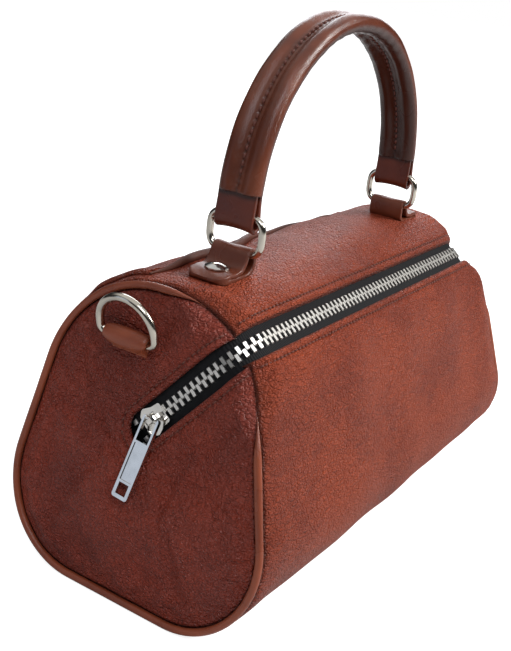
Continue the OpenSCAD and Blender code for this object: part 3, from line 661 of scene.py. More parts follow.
def nearest(y, z):
    """Distance from the end view's outline, and which dense point of the outline is nearest."""
    d = np.hypot(DENSE_PTS[None, :, 0] - y[:, None], DENSE_PTS[None, :, 1] - z[:, None])
    k = np.argmin(d, axis=1)
    return d[np.arange(len(y)), k], k


def end_edge(y, z):
    """Distances from the outline and from the seam cord inside it, distance round, and outward direction there."""
    rim, k = nearest(y, z)
    return rim, np.maximum(rim - 2 * cord_radius(DENSE_DIST[k]) - 0.1, 0), DENSE_DIST[k], DENSE_DIRS[k]


def slot_run(half, tops, step, turns):
    """A line round the slot at half its width, down one side and up the other, as points of the end view."""
    down, up = ([(u, v) for v in np.arange(SLOT_FLOOR, top, step)] for u, top in zip((half, -half), tops))
    turn = [(half * math.cos(a), SLOT_FLOOR - half * math.sin(a)) for a in np.linspace(0, math.pi, turns)[1:-1]]
    return [zip_point(u, v) for u, v in down[::-1] + turn + up]


def end_region():
    """Triangles over an end panel's outline, open at the zip's slot: points and faces in the end view."""
    dist = np.linspace(ZIP_HALF - 0.4, ROUND - ZIP_HALF + 0.4, 190)
    p, n = at_round(dist)
    gap = 2 * cord_radius(dist) * 0.92 + 0.25
    u0, v0 = zip_coords(*CORNERS[3][:2])
    rows = []
    for off in (0.0, 0.12, 0.35, 0.7, 1.2, 1.9, 2.6, 3.0, 3.4, 3.8, 4.2, 5.0, 6.2):
        half = ZIP_HALF + off
        tops = [v0 + math.sqrt((CREST_R - 0.6) ** 2 - (u - u0) ** 2) - 0.4 for u in (half, -half)]
        rows.append(slot_run(half, tops, 1.2, 36))
    points = [*map(tuple, p - n * gap[:, None]), *rows[0][::-1]]
    boundary = list(range(len(points)))
    for depth in (0.25, 0.6, 1.1, 1.8, 2.8, 4.0, 5.4, 7.0):
        points += map(tuple, p[3:-3] - n[3:-3] * (gap[3:-3] + depth)[:, None])
    for row in rows[1:]:
        points += row
    ys, zs = np.meshgrid(np.arange(-70, 70, END_STEP), np.arange(0, 140, END_STEP * 0.866))
    ys[1::2] += END_STEP / 2
    ys, zs = ys.ravel(), zs.ravel()
    rim, k = nearest(ys, zs)
    within = np.sum((np.stack([ys, zs], -1) - DENSE_PTS[k]) * DENSE_DIRS[k], -1) < 0
    keep = within & (rim > 8.6) & (slot_distance(ys, zs) > 7.2)
    points += zip(ys[keep], zs[keep])
    edges = [(i, (i + 1) % len(boundary)) for i in boundary]
    verts, _, faces, *_ = geometry.delaunay_2d_cdt([Vector(v) for v in points], edges, [boundary], 1, 1e-4)
    return np.array([tuple(v) for v in verts]), faces


# Folds of an end panel: place (y, z), direction in degrees, half length, width and depth
FOLDS = ((30, 100, 60, 11, 2.6, 0.9), (36, 88, 75, 14, 3.0, 0.8), (24, 92, 20, 12, 2.4, 0.7),
         (-6, 122, 150, 12, 2.4, 0.8), (-20, 60, 100, 13, 2.8, 0.7), (14, 66, 40, 14, 3.0, 0.8),
         (-34, 78, 115, 12, 2.4, 0.7), (30, 40, 120, 20, 4.5, 0.7), (-28, 30, 60, 20, 4.5, 0.6))


def end_height(y, z, side):
    """How far an end panel stands outwards from the seam's plane, in millimetres."""
    rim, inner, at, _ = end_edge(y, z)
    slot = np.maximum(slot_distance(y, z), 0)
    run = zip_coords(y, z)[1]
    rise = size("pillow") * smooth(inner / 34) * bump(y + 2, 44) * bump(z - 38, np.where(z > 38, 26, 38))
    rise = rise + 1.3 * smooth(inner / 9) * smooth(slot / 12)
    rise = rise + 1.2 * smooth(inner / 12) * bump(y + 44, 15) * bump(z - 58, 26)
    rise = rise + 0.55 * waves(y, z, 23 + side, 6, 34.0) * smooth(inner / 12) * smooth(slot / 9)
    for fy, fz, angle, reach, wide, deep in FOLDS:
        c, q = math.cos(math.radians(angle)), math.sin(math.radians(angle))
        u, v = (y - fy) * c + (z - fz) * q, (z - fz) * c - (y - fy) * q
        v = v - 0.02 * u * u / wide
        fold = bump(v, wide) - 0.6 * bump(v - 1.6 * wide, wide)
        rise = rise - deep * bump(u, reach) * fold * smooth(slot / 8) * smooth(inner / 6)
    rise = rise + 0.34 * np.sin(at / 3.4 + 1.1 * np.sin(at / 13)) * bump(inner - 5, 5.0) * smooth(slot / 6)
    rise = rise + 0.24 * np.sin(run / 2.3 + 1.2 * np.sin(run / 7) + side) * bump(slot - 5.5, 3.0)
    roll_seat = bump(y - DEE_Y, 15) * bump(z - DEE_Z + 6, 17)
    corner = corner_share(near_zip(at))
    sink = (1.5 + 0.4 * corner) * (1 - rounded(inner / (2.4 - 1.1 * corner)))
    sewn = sewn_level(slot - STITCH_IN, run, size("stitch")) * smooth((rim - 3) / 3)
    return 0.15 + rise * (1 - 0.94 * np.clip(1.15 * roll_seat, 0, 1)) - sink - lip_level(slot) - sewn


def end_place(y, z, side, lift=0.0):
    """Points on an end panel's surface, pushed out by lift, with the corner near the zip rounded."""
    _, inner, at, n = end_edge(y, z)
    near = near_zip(at)
    back, low_by = rounded_corner(inner, corner_share(near) * corner_size(side, near))
    out = end_height(y, z, side) + lift - low_by
    y, z = y - n[:, 0] * back, z - n[:, 1] * back
    return np.stack([side * (half_len(z) + out * math.cos(TILT)), y, z + out * math.sin(TILT)], -1)


CLOTH = {"quality": 5, "mass": 0.15, "tension_stiffness": 12, "compression_stiffness": 12, "shear_stiffness": 4,
         "bending_stiffness": 0.12, "tension_damping": 8, "compression_damping": 8, "air_damping": 3,
         "use_pressure": True, "uniform_pressure_force": 0.6, "shrink_min": -0.03, "vertex_group_mass": "held"}
CLOTH_CAP = 1.6
CLOTH_FRAMES = 20


def coordinates(piece):
    """A piece's vertex coordinates, in metres."""
    co = np.empty(len(piece.data.vertices) * 3)
    piece.data.vertices.foreach_get("co", co)
    return co.reshape(-1, 3)


def puffed(piece, held):
    """Lets a cloth simulation swell and wrinkle a sheet between its held places, moving no point past the cap."""
    group = piece.vertex_groups.new(name="held")
    for i, weight in enumerate(held):
        group.add([i], float(weight), "REPLACE")
    before = coordinates(piece)
    make_active(piece)
    cloth = piece.modifiers.new("Cloth", "CLOTH")
    for key, value in CLOTH.items():
        setattr(cloth.settings, key, value)
    cloth.settings.effector_weights.gravity = 0
    cloth.collision_settings.use_collision = False
    scene = bpy.context.scene
    for k in range(CLOTH_FRAMES):
        scene.frame_set(k + 1)
    bpy.ops.object.modifier_apply(modifier=cloth.name)
    scene.frame_set(1)
    piece.vertex_groups.clear()
    move = (coordinates(piece) - before) / MM
    far = np.linalg.norm(move, axis=1)
    move *= (CLOTH_CAP * np.tanh(far / CLOTH_CAP) / np.maximum(far, 1e-9))[:, None]
    piece.data.vertices.foreach_set("co", (before + move * MM).reshape(-1))
    piece.data.update()


class BAG_OT_ends(bpy.types.Operator):
    """Make both end panels: pillowed leather with the zip's slot folded and stitched"""
    bl_idname = "bag.ends"
    bl_label = "End panels"

    def execute(self, context):
        pts, faces = end_region()
        y, z = pts.T
        rim, k = nearest(y, z)
        slot = slot_distance(y, z)
        free = smooth((rim - 4.5) / 6) * smooth((slot - 4.6) / 5)
        roll_seat = bump(y - DEE_Y, 13) * bump(z - DEE_Z, 11)
        puller = bump(y + 2, 7) * smooth((z - 40) / 8) * smooth((80 - z) / 8)
        held = 1 - free * (1 - np.clip(1.3 * roll_seat, 0, 1)) * (1 - 0.85 * puller)
        for side, name in SIDES:
            make_active()
            bpy.ops.mesh.primitive_plane_add(size=1)
            piece = bpy.context.object
            piece.name = name + "_end_leather"
            refill(piece, end_place(y, z, side) * MM, faces)
            # Painted shade along the seam's edge, the fold at the slot's lip and the stitches
            mark_crease_shade(piece, crease_shade_at(rim - 2 * cord_radius(DENSE_DIST[k]), slot, zip_coords(y, z)[1]))
            edited(piece, ALL, OUTWARD)
            if np.mean([f.normal[0] * f.area for f in piece.data.polygons]) * side < 0:
                piece.data.flip_normals()
            puffed(piece, held)
            make_active(piece)
            thick = piece.modifiers.new("Thickness", "SOLIDIFY")
            thick.thickness, thick.offset, thick.use_even_offset = END_T * MM, -1, False
            bpy.ops.object.modifier_apply(modifier=thick.name)
            dress(piece, 60, "bag", "end_leather", "End leather", name + "_end_panel")
        return {"FINISHED"}


class BAG_OT_piping(bpy.types.Operator):
    """Make the seam cords round both ends"""
    bl_idname = "bag.piping"
    bl_label = "Piping"

    def execute(self, context):
        dist = np.linspace(CORD_START, ROUND - CORD_START, 260)
        p, n = at_round(dist)
        radius = np.maximum(cord_radius(dist), 0.1)
        uneven = 1 + 0.03 * waves(dist, dist * 0, 7, 4, 30.0)
        for side, name in SIDES:
            bevel = corner_cut(dist) * corner_size(side, near_zip(dist)) + 0.55 * (1 - radius / PIPE_R)
            y, z = (p - n * (radius + bevel)[:, None]).T
            tangent = unit(np.stack([-side * LEAN * n[:, 0], -n[:, 1], n[:, 0]], -1))
            across = unit(np.cross(tangent, np.stack([0 * y, n[:, 0], n[:, 1]], -1)))
            middle = np.stack([side * (half_len(z) - bevel), y, z], -1)
            rings = wire(middle, np.cross(across, tangent), across, radius * uneven, 20)
            rings[..., 2] = np.maximum(rings[..., 2], 0.0)
            piece = tube(name + "_seam_cord", rings)
            # The piping leather is the trim painted lighter, a painted highlight
            dress(piece, 70, "bag", "trim_leather", "Piping leather", name + "_piping")
        return {"FINISHED"}


# The zip's path in its own plane: straight along the front, a turn, and straight down each end
FRONT_Y = CREST_R - UNDER_LIP
TURN_Y = FRONT_Y - TURN_R
TURN_X = half_len(ZIP_Z) - UNDER_LIP - math.tan(SLANT) * TURN_Y - TURN_R / math.cos(SLANT)
TURN_END = TURN_X + TURN_R * (math.pi / 2 - SLANT)
LEG_START = (TURN_X + TURN_R * math.cos(SLANT), TURN_Y + TURN_R * math.sin(SLANT))
LEG_LEN = (LEG_START[1] - (CREST_R - ZIP_DROP)) / math.cos(SLANT)
HALF_PATH = TURN_END + LEG_LEN
SLIDER_AT = HALF_PATH - SLIDER_RISE / math.cos(SLANT)


def zip_place(t, along, lift):
    """A point at a signed distance along the zip from its middle, across it, and outwards from the tape's middle."""
    side, t = (-1 if t < 0 else 1), abs(t)
    if t <= TURN_X:
        x, out, a = t, FRONT_Y, math.pi / 2
    elif t <= TURN_END:
        a = math.pi / 2 - (t - TURN_X) / TURN_R
        x, out = TURN_X + TURN_R * math.cos(a), TURN_Y + TURN_R * math.sin(a)
    else:
        a = SLANT
        x, out = LEG_START[0] + (t - TURN_END) * math.sin(a), LEG_START[1] - (t - TURN_END) * math.cos(a)
    return (side * (x + lift * math.cos(a)), *zip_point(along, out + lift * math.sin(a)))


def zip_spread(t):
    """How far the rows part near the slider."""
    q = -t - SLIDER_AT
    return 1.9 * smooth((q + 3.5) / 7.0) + 0.6 * smooth((q - 3.5) / 7.0)


class BAG_OT_tapes(bpy.types.Operator):
    """Make the zip's two woven tapes"""
    bl_idname = "bag.tapes"
    bl_label = "Zip tapes"

    def execute(self, context):
        path = np.concatenate([np.linspace(-HALF_PATH, -TURN_X, 70), np.linspace(-TURN_X, TURN_X, 60)[1:-1],
                               np.linspace(TURN_X, HALF_PATH, 70)])
        thin, bead = 0.28, 0.42
        for hand, name in ((-1, "upper"), (1, "lower")):
            rings = []
            for t in path:
                inner = 1.06 + zip_spread(t - 0.75 * (t < 0))
                outer = TAPE_HALF - 1.3 * smooth((abs(t) - TURN_X + 8) / 8) * smooth((TURN_END + 8 - abs(t)) / 8)
                section = [(inner, -bead), (inner, bead), (inner + 0.5, bead), (inner + 0.9, thin),
                           (outer - 0.3, thin), (outer, 0.0), (outer - 0.3, -thin), (inner + 0.9, -thin),
                           (inner + 0.5, -bead)]
                wave = 0.12 * math.sin(t / 9.0 + hand)
                rings.append([zip_place(t, hand * u, v + wave * smooth((u - 4) / 4)) for u, v in section])
            piece = tube("zip_tape_" + name + "_cloth", rings)
            if hand > 0:
                # Cloth that closes each slot below the end of the zip
                section = [(-9, -0.95), (0, -1.0), (9, -0.95), (9, -1.35), (0, -1.4), (-9, -1.35)]
                run = np.linspace(HALF_PATH - 19, HALF_PATH + 3, 12)
                ends = [tube("tape_end", [[zip_place(side * t, u, v) for u, v in section] for t in run])
                        for side, _ in SIDES]
                make_active(piece, *ends)
                bpy.ops.object.join()
            dress(piece, 40, "bag", "tape_cloth", "Zip cloth", "zip_tape_" + name)
        return {"FINISHED"}


def arch_point(angle, out, across):
    """A point on the handle's arch, by angle above the right end, distance from its middle line and width."""
    r = RING_X + out
    return (r * math.cos(angle), HANDLE_Y + across, ARCH_Z + r * math.sin(angle))


PAD_R = 4.3
PAD_AT = 5.7


def cover_level(across, outer, along):
    """How far the padded cover stands from its middle line, outside or inside, with the seam down its middle."""
    a = abs(across)
    if a > PAD_AT:
        level = math.sqrt(max(PAD_R ** 2 - (a - PAD_AT) ** 2, 0.0))
    else:
        level = (2.75 if outer else 2.95) + 1.55 * smooth((a - 1.2) / 4.2)
    if outer:
        level -= 0.1 * bump(a - 2.3, 0.6)
    return level - bump(a, 0.75) * (0.42 + 0.36 * math.cos(TAU * along / HANDLE_PITCH))


def cover_section(along):
    """The padded cover's section as (across, out), in order round it."""
    inner = np.concatenate([np.linspace(-5.5, -3.2, 4), np.linspace(-2.9, 2.9, 13), np.linspace(3.2, 5.5, 4)])
    rim = PAD_AT + PAD_R * np.cos(np.linspace(0, math.pi / 2, 9))
    over = np.concatenate([rim, inner[::-1], -rim[::-1]])
    return ([(a, cover_level(a, True, along)) for a in over]
            + [(a, -cover_level(a, False, along)) for a in over[::-1][1:-1]])


class BAG_OT_handle(bpy.types.Operator):
    """Make the padded handle cover and its stitched middle seam"""
    bl_idname = "bag.handle"
    bl_label = "Handle"

    def execute(self, context):
        low = math.radians(4.5)
        lip = np.array([0.0, 0.003, 0.008])
        middle = np.linspace(low + 0.016, math.pi - low - 0.016, 330)
        rings, shade_marks = [], []
        for a in np.concatenate([low + lip, middle, math.pi - low - lip[::-1]]):
            near = min(a - low, math.pi - low - a) * RING_X
            shrink = 1 - 0.07 * (1 - rounded(near / 0.6))
            flare = 0.95 * bump(near, 3.0)
            fold = bump(a - math.pi / 2, 0.75)
            ring, dark = [], []
            for across, out in cover_section(a * RING_X):
                wrinkle = 0.14 * math.sin(a * 58 + 0.35 * across) * fold * (0.25 if out > 0 else 1.0)
                soft = 0.12 * math.sin(a * 9 + across * 0.3) + 0.08 * math.sin(a * 21 - across * 0.5)
                lift = math.copysign(flare, out) * (1 - min(abs(across) / 9, 1) ** 2)
                ring.append(arch_point(a, (out + lift) * shrink + wrinkle + soft, across * (0.53 + shrink / 2)))
                # Painted shade: darker down the stitched middle groove and at the cover's ends
                dark.append(0.55 * bump(across, 0.8) + bump(near, 0.45))
            rings.append(ring)
            shade_marks.append(dark)
        piece = tube("handle_leather", rings, shade_marks=np.clip(shade_marks, 0, 1))
        # The handle leather is the trim painted paler and bluer, a painted sheen
        dress(piece, 60, "handle", "trim_leather", "Handle leather", "handle_cover")
        return {"FINISHED"}


def arc(cx, cz, r, start, stop, count):
    """Points of an arc, by angles in degrees."""
    turns = np.radians(np.linspace(start, stop, count))
    return [(cx + r * math.cos(a), cz + r * math.sin(a)) for a in turns]


def fine_line(points, step=0.55, soften=5):
    """An open run of points laid at even short steps, with its corners softened."""
    pts = np.array(points, float)
    run = run_along(pts)
    pts = laid(np.linspace(0, run[-1], max(int(run[-1] / step), 8)), run, pts)
    for _ in range(soften):
        pts[1:-1] = (pts[:-2] + 2 * pts[1:-1] + pts[2:]) / 4
    return pts


def beside(way):
    """Directions square to those of a flat line."""
    return unit(np.stack([way[:, 1], -way[:, 0]], -1))


def folded_strip(path, thick, middle, half, edge, shape):
    """Rings of a leather strip round its middle line, a path of (out, up), from edge to edge of its width."""
    line = fine_line(path)
    n = beside(np.gradient(line, axis=0))
    run = run_along(line)
    to_end = np.minimum(run, run[-1] - run)
    low, high = middle - half, middle + half
    steps = np.array([0.0, 0.06, 0.17, 0.34, edge])
    rings = []
    for y in [*(low + steps), *np.linspace(low + edge, high - edge, 21)[1:-1], *(high - steps[::-1])]:
        level = thick / 2 - edge + edge * rounded(min(y - low, high - y, edge) / edge)
        tip = n * (level * rounded(to_end / 0.5, 0.05))[:, None]
        ring = shape(np.concatenate([line + tip, (line - tip)[::-1]]), y)
        rings.append([(u, y, v) for u, v in ring])
    return np.array(rings)


def loop_shape(ring, y):
    """The strap loop's lower bend, arched a little between its edges."""
    off = (y - HANDLE_Y) / STRAP_HALF
    ring[:, 1] += 0.9 * (1 - off * off) * (1 - smooth((ring[:, 1] - 154) / 6))
    return ring


def tab_shape(ring, y):
    """The crest tab's tail: rounded corners, and the droop of the crest below it."""
    off = abs(y - HANDLE_Y)
    corner = 5.5
    past = max(off - (STRAP_HALF - corner), 0.0)
    limit = TAB_TAIL - corner + math.sqrt(max(corner ** 2 - past ** 2, 0.0))
    u = np.where(ring[:, 0] > limit, limit + 0.02 * (ring[:, 0] - limit), ring[:, 0])
    droop = CREST_R - math.sqrt(CREST_R ** 2 - min(y - CREST_Y, 0.0) ** 2)
    sink = 0.45 * bump(u - 11, 5.5) * bump(off, 5.5) * smooth((ring[:, 1] - 137) / 0.8)
    v = ring[:, 1] - sink - droop * smooth((u + 2) / 6) + 0.12 * np.sin(u * 0.9 + y * 0.4)
    return np.stack([u, v], -1)


def dee_shape(ring, y):
    """The roll is fuller in its middle and puckers at its ends."""
    off = (y - DEE_Y) / 11
    full = 0.13 * (1 - off * off) - 0.12 * abs(off) ** 6 + 0.032 * math.sin(y * 2.6) * abs(off) ** 3
    return ring * (1 + full * smooth((ring[:, 0] + 2.2) / 2)[:, None])


def strap_rings():
    """The handle's strap end: two layers that part round the ring's upper bar."""
    path = [(-2.1, 172), (-1.9, 167.5), (-2.15, 163.5), (-2.56, 159), *arc(0, 157, 2.56, 180, 360, 17),
            (2.56, 159), (2.05, 163.5), (1.5, 167.5), (1.3, 172)]
    return folded_strip(path, 1.8, HANDLE_Y, STRAP_HALF, 0.5, loop_shape)


def tab_rings():
    """The tab on the crest, folded round the ring's lower bar, with both layers held by the rivet."""
    base = BODY_H + 1.25
    path = [(TAB_TAIL - 4, base), (1.5, base), *arc(1.5, base + 4.2, 4.2, 268, 182, 8), (-2.76, SEAT_Z - 2),
            *arc(0, SEAT_Z, 2.76, 180, 25, 15), (3.1, 143.6), (4.0, 141.6), (5.2, 139.7), (6.8, 138.6),
            (9.0, 138.35), (16.5, 138.3), (19.3, 137.5), (TAB_TAIL, 136.4)]
    return folded_strip(path, 2.1, HANDLE_Y, STRAP_HALF, 0.7, tab_shape)


DEE_OFF = 0.15 + (DEE_ROLL + 0.05) * math.cos(TILT)


def dee_rings():
    """The roll that holds the strap ring, going back into the panel's seam."""
    path = [(-2.96, -6), (-2.96, 0), *arc(0, 0, 2.96, 180, -88, 26), (-1.6, -3.7), (-3.2, -4.9)]
    rings = folded_strip(path, 2.2, DEE_Y, 11.3, 1.09, dee_shape)
    u, v = rings[..., 0].copy(), rings[..., 2].copy()
    rings[..., 0] = u * math.cos(TILT) - v * math.sin(TILT)
    rings[..., 1] = DEE_Y + (rings[..., 1] - DEE_Y) * (1 - 0.2 * smooth((-v - 0.5) / 3.5))
    rings[..., 2] = DEE_Z + (DEE_ROLL + 0.05) * math.sin(TILT) + u * math.sin(TILT) + v * math.cos(TILT)
    return rings


def bowed_ring(name, side):
    """A handle ring as a round wire: straight bars inside the leather, and sides that bow outwards."""
    half, count = (HINGE_Z - SEAT_Z) / 2, 96
    a = TAU * np.arange(count) / count
    c, q = np.cos(a), np.sin(a)
    line = np.stack([RING_HALF * np.copysign(np.abs(c) ** 0.5, c) * (1 + 0.05 * (1 - np.abs(q))),
                     half * np.copysign(np.abs(q) ** 0.5, q)], -1)
    closed = np.concatenate([line, line[:1]])
    run = run_along(closed)
    line = laid(np.linspace(0, run[-1], count, endpoint=False), run, closed)
    for _ in range(2):
        line = (np.roll(line, 1, 0) + 2 * line + np.roll(line, -1, 0)) / 4
    n = beside(np.roll(line, -1, 0) - np.roll(line, 1, 0))
    middle = raised(np.full((count, 3), (side * RING_X, HANDLE_Y, SEAT_Z + half)), line, 1.0)
    rings = wire(middle, raised(np.zeros((count, 3)), n, 1.0), (1, 0, 0), RING_WIRE, 14)
    return tube(name, [*rings, rings[0]], caps=False)


class BAG_OT_straps(bpy.types.Operator):
    """Make the handle's strap loops and rings, the tabs on the crest and the loops of the strap rings"""
    bl_idname = "bag.straps"
    bl_label = "Straps and tabs"

    def execute(self, context):
        # Strap leather is the trim painted darker, a painted shade; the dee loop's piping leather is painted lighter,
        # a painted highlight
        strips = (("_strap_loop", strap_rings(), RING_X, "handle", "Strap leather", "_strap_loop"),
                  ("_tab", tab_rings(), RING_X, "bag", "Trim leather", "_handle_tab"),
                  ("_dee_loop", dee_rings(), half_len(DEE_Z) + DEE_OFF, "bag", "Piping leather", "_dee_tab"))
        for side, name in SIDES:
            for ending, rings, middle, body, leather, node in strips:
                rings = rings.copy()
                rings[..., 0] = side * (middle + rings[..., 0])
                # Painted shadow on the strap where it runs under the handle cover's end
                piece = tube(name + ending + "_leather", rings, shade_marks=0.9 * smooth((rings[..., 2] - 167.6) / 1.8))
                dress(piece, 60, body, "trim_leather", leather, name + node)
            piece = bowed_ring(name + "_handle_ring_wire", side)
            dress(piece, 70, name + "_ring", "bright_metal", "Ring metal", name + "_handle_ring")
        return {"FINISHED"}


def pocket_span():
    """Distances round the end view of the pocket's lower seam and its mouth."""
    y, z = VIEW_PTS.T
    low = VIEW_DIST[(y > 30) & (VIEW_DIRS[:, 0] > 0.3) & (np.abs(z - POCKET_LOW_Z) < 3.0)]
    mouth = VIEW_DIST[(z > 120) & (y > POCKET_MOUTH_Y)]
    return float(np.mean(low)), float(mouth.max()) + 1.5


POCKET_LOW, POCKET_TOP = pocket_span()


def mouth_at(x):
    """Distance round the end view of the pocket's mouth, which gapes up at the left and lies lower at the right."""
    return POCKET_TOP - 24.0 * smooth((x + 50) / 85)


def pocket_sheet(row, share):
    """Outer and inner surface of the back pocket: row runs from its lower seam (0) to its mouth (1)."""
    mouth = mouth_at(share * 106)
    dist = POCKET_LOW + row * (mouth - POCKET_LOW)
    p, n = at_round(dist)
    ends = half_len(p[..., 1])
    x = share * (ends - POCKET_MARGIN)
    ground, _ = wrap_surface(dist, x / (ends - PIPE_R - 0.1))
    edge = np.minimum(np.minimum((1 - np.abs(share)) * 110, dist - POCKET_LOW), mouth - dist + 4)
    lift = 1.75 - 0.9 * (1 - rounded(edge / 1.2)) - 0.9 * sewn_level(edge - 3.2, x + dist, 3.2)
    return raised(ground, n, lift), raised(ground, n, 0.3)


class BAG_OT_inside(bpy.types.Operator):
    """Make the lining, the back pocket and its binding"""
    bl_idname = "bag.inside"
    bl_label = "Lining and pocket"

    def execute(self, context):
        dist, share = np.meshgrid(np.linspace(11.0, ROUND - 11.0, 120), np.linspace(-1, 1, 60), indexing="ij")
        p, n = at_round(dist)
        bevel = corner_cut(dist)
        inset = LINING_IN + 0.25 * waves(share * 110, dist, 31, 5, 50.0)
        inset = inset + 1.5 * bevel * smooth((np.abs(share) - 0.72) / 0.2)
        p = p - n * inset[..., None]
        outer = np.stack([share * (half_len(p[..., 1]) - 3.0 - 1.5 * bevel), p[..., 0], p[..., 1]], -1)
        piece = shell("lining_cloth", outer, raised(outer, n, -LINING_T))
        dress(piece, 60, "bag", "lining_cloth", "Lining cloth", "lining")
        row, share = np.meshgrid(np.linspace(0, 1, 90), np.linspace(-1, 1, 100), indexing="ij")
        piece = shell("back_pocket_leather", *pocket_sheet(row, share))
        dress(piece, 60, "bag", "wrap_leather", "Wrap leather", "back_pocket")
        # The binding rolls along the pocket's mouth and thins towards its ends
        t = np.linspace(-1, 1, 140)
        x = t * (half_len(BODY_H) - POCKET_MARGIN)
        place, n = wrap_surface(mouth_at(x) + 0.9, t * 0.93)
        r = (2.0 - 0.7 * smooth((x + 35) / 45)) * (1 - 0.75 * smooth((np.abs(t) - 0.72) / 0.28))
        place = raised(place, n, 0.9 * r + 0.1 * np.sin(t * 17))
        place[:, 0] = x
        piece = tube("pocket_binding_leather", wire(place, (0, 1, 0), (0, 0, 1), r, 18))
        # The binding leather is the trim painted darker, a painted shade
        dress(piece, 60, "bag", "trim_leather", "Binding leather", "pocket_binding")
        return {"FINISHED"}


# Threads

def stitch_row(name, body, places, long, radius):
    """Copies of one stitch at places of (point, direction along, direction out), as one piece."""
    t = np.array([-1.0, -0.8, -0.4, 0.0, 0.4, 0.8, 1.0])
    middle = np.stack([t * long / 2, 0 * t, -radius * 1.6 * np.abs(t) ** 3], -1)
    model = tube(name, wire(middle, (0, 1, 0), (0, 0, 1), radius * np.array([0.45, 0.9, 1, 1, 1, 0.9, 0.45]), 6))
    verts = coordinates(model)
    faces = [list(f.vertices) for f in model.data.polygons]
    point, along, out = (np.array(v, float) for v in zip(*places))
    along = unit(along)
    out = unit(out - along * np.sum(out * along, -1, keepdims=True))
    turned = verts @ np.stack([along, np.cross(out, along), out], 1)
    moved = point[:, None] * MM + turned
    refill(model, moved.reshape(-1, 3), [[k * len(verts) + i for i in f] for k in range(len(places)) for f in faces])
    dress(model, 60, body, "trim_leather", "Sewing thread")


def slot_line(half, pitch):
    """Points and directions at each stitch of a line round the zip's slot, from its lower side to its upper side."""
    top = 42.5
    path = [(half, v) for v in np.linspace(top, SLOT_FLOOR, 60)]
    path += [(half * math.cos(a), SLOT_FLOOR - half * math.sin(a)) for a in np.linspace(0, math.pi, 40)[1:]]
    path += [(-half, v) for v in np.linspace(SLOT_FLOOR, top, 60)[1:]]
    pts = np.array([zip_point(u, v) for u, v in path])
    run = run_along(pts)
    at = np.arange(pitch / 2, run[-1], pitch)
    here = laid(at, run, pts)
    return here, unit(laid(at + 0.3, run, pts) - here)


class BAG_OT_threads(bpy.types.Operator):
    """Sew the rows of stitches: along the zip, round the slots and down the handle"""
    bl_idname = "bag.threads"
    bl_label = "Threads"

    def execute(self, context):
        pitch = size("stitch")
        places = []
        for dist in (ZIP_HALF + STITCH_IN, ROUND - ZIP_HALF - STITCH_IN):
            end = half_len(at_round(dist)[0][1]) - 4.0
            count = int(end / pitch)
            share = (np.arange(-count, count) + 0.5) * pitch / (end + 3.9)
            pos, n = wrap_surface(np.full_like(share, dist), share)
            places += [(point, (1, 0, 0), (0, *out)) for point, out in zip(raised(pos, n, STITCH_OUT), n)]
        stitch_row("zip_lip_stitches", "bag", places, pitch * 0.7, 0.36)
        here, way = slot_line(ZIP_HALF + STITCH_IN, pitch)
        for side, name in SIDES:
            pos = end_place(*here.T, side, STITCH_OUT)
            ahead = end_place(*(here + 0.5 * way).T, side, STITCH_OUT)
            places = [(point, along, (side, 0, LEAN)) for point, along in zip(pos, ahead - pos)]
            stitch_row(name + "_slot_stitches", "bag", places, pitch * 0.7, 0.34)
        places = []
        for k in range(3, int(math.pi * RING_X / HANDLE_PITCH) - 3):
            a = (k + 0.5) * HANDLE_PITCH / RING_X
            c, q = math.cos(a), math.sin(a)
            places += [(arch_point(a, 2.78, 0.0), (-q, 0, c), (c, 0, q)),
                       (arch_point(a, -2.8, 0.0), (-q, 0, c), (-c, 0, -q))]
        stitch_row("handle_stitches", "handle", places, 2.3, 0.5)
        return {"FINISHED"}


FINISHES = {"Tooth metal": ("zip_teeth_upper", "zip_teeth_lower", "zip_stops"),
            "Plated metal": ("zip_slider", "zip_puller", "left_tab_rivet", "right_tab_rivet"),
            "Ring metal": ("left_dee_ring", "right_dee_ring"),
            "Lining cloth": ("base_board",), "Filler cord": ("handle_filler",)}


class BAG_OT_hardware(bpy.types.Operator):
    """Give the metal and hidden solids their materials"""
    bl_idname = "bag.hardware"
    bl_label = "Hardware"

    def execute(self, context):
        for name, nodes in FINISHES.items():
            for node in nodes:
                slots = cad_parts[node].data.materials
                slots.clear()
                slots.append(material_named(name))
        return {"FINISHED"}


# Lamps: place in metres, power, size and colour
LAMPS = {"Key": ((0.75, -1.2, 1.1), 30.0, 0.6, (1.0, 0.985, 0.96)),
         "Sheen": ((1.45, 0.75, 0.8), 11.0, 1.0, (0.95, 0.96, 1.0)),
         "Edge": ((-0.75, -0.75, 1.4), 9.0, 0.6, (0.9, 0.93, 1.0)),
         "Card": ((-1.3, 0.85, 0.36), 1.2, 0.7, (0.72, 0.82, 1.0))}


def added(name, data):
    """A new object in the scene."""
    made = bpy.data.objects.new(name, data)
    bpy.context.scene.collection.objects.link(made)
    return made


def lit_world():
    """A world that is white to the camera, dim to surfaces, and brighter high up in reflections."""
    world = bpy.data.worlds.new("Studio")
    bpy.context.scene.world = world
    m = Maker(world)
    light = {ray: m.node("ShaderNodeLightPath", output=f"Is {ray} Ray") for ray in ("Glossy", "Camera")}
    up = m.node("ShaderNodeSeparateXYZ", {}, [m.node("ShaderNodeTexCoord", output="Generated")], 2)
    soft = m.node("ShaderNodeMix", {}, {0: light["Glossy"], 2: 0.32, 3: up.span(0.35, 0.75, 0.03, 0.7)})
    back = m.tree.nodes["Background"]
    m.feed(back.inputs["Strength"], m.node("ShaderNodeMix", {}, {0: light["Camera"], 2: soft, 3: 1.0}))
    m.feed(back.inputs["Color"], (1, 1, 1))


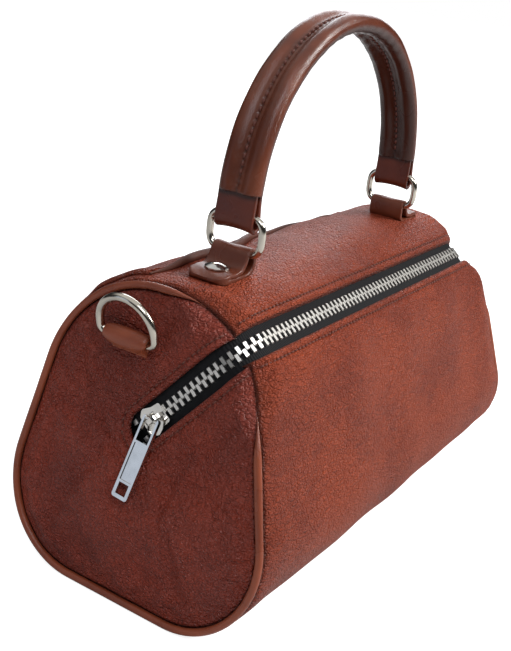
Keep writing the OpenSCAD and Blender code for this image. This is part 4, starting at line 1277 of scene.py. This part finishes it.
def camera():
    """The camera at the photograph's angle."""
    yaw, pitch, roll = (math.radians(a) for a in (59.15, 20.31, 6.88))
    ahead = Vector((math.sin(yaw) * math.cos(pitch), math.cos(yaw) * math.cos(pitch), -math.sin(pitch)))
    level = Vector((math.cos(yaw), -math.sin(yaw), 0))
    up = level.cross(ahead)
    right = math.cos(roll) * level + math.sin(roll) * up
    top = -math.sin(roll) * level + math.cos(roll) * up
    data = bpy.data.cameras.new("Camera")
    cam = added("Camera", data)
    turn = Matrix((right, top, -ahead)).transposed().to_4x4()
    cam.matrix_world = Matrix.Translation(Vector((-420.3, -224.1, 263.6)) * MM) @ turn
    data.sensor_fit = "AUTO"
    data.sensor_width = 36.0
    data.lens = 1000.0 * 36.0 / 651.0
    data.clip_start, data.clip_end = 0.01, 20.0
    bpy.context.scene.camera = cam


class BAG_OT_stage(bpy.types.Operator):
    """Set the floor, the backdrop, the lamps and the camera"""
    bl_idname = "bag.stage"
    bl_label = "Stage"

    def execute(self, context):
        make_active()
        bpy.ops.mesh.primitive_plane_add(size=12.0, location=(0, 0, -0.0002))
        floor = bpy.context.object
        floor.name = "studio_floor"
        bpy.ops.object.transform_apply(location=True, rotation=True, scale=True)
        floor.data.materials.append(material("Pale floor", pale_floor, 0.62, 0.86))
        lit_world()
        for name, (place, power, across, tint) in LAMPS.items():
            data = bpy.data.lights.new(name, "AREA")
            data.energy, data.size, data.color = power, across, tint
            lamp = added(name, data)
            lamp.location = place
            lamp.rotation_euler = (Vector((0, 0, 0.08)) - Vector(place)).to_track_quat("-Z", "Y").to_euler()
        camera()
        context.scene.view_settings.view_transform = "Standard"
        return {"FINISHED"}


OPERATORS = (BAG_OT_wrap, BAG_OT_ends, BAG_OT_piping, BAG_OT_tapes, BAG_OT_handle, BAG_OT_straps, BAG_OT_inside,
             BAG_OT_threads, BAG_OT_hardware, BAG_OT_stage)


class BAG_PT_panel(bpy.types.Panel):
    """Lists the bag's pieces, sizes and colours"""
    bl_idname = "BAG_PT_panel"
    bl_label = "Barrel bag"
    bl_space_type = "VIEW_3D"
    bl_region_type = "UI"
    bl_category = "Bag"

    def draw(self, context):
        for group in (context.scene.bag_sizes, context.scene.bag_colours):
            for key in group.__annotations__:
                self.layout.prop(group, key)
        for operator in OPERATORS:
            self.layout.operator(operator.bl_idname)


CLASSES = (BagSizes, BagColours, *OPERATORS, BAG_PT_panel)


def register():
    for cls in CLASSES:
        bpy.utils.register_class(cls)
    bpy.types.Scene.bag_sizes = bpy.props.PointerProperty(type=BagSizes)
    bpy.types.Scene.bag_colours = bpy.props.PointerProperty(type=BagColours)


def unregister():
    del bpy.types.Scene.bag_sizes
    del bpy.types.Scene.bag_colours
    for cls in reversed(CLASSES):
        bpy.utils.unregister_class(cls)


def main():
    """Makes every piece in order."""
    register()
    for operator in OPERATORS:
        group, name = operator.bl_idname.split(".")
        getattr(getattr(bpy.ops, group), name)()


if __name__ == "__main__":
    main()
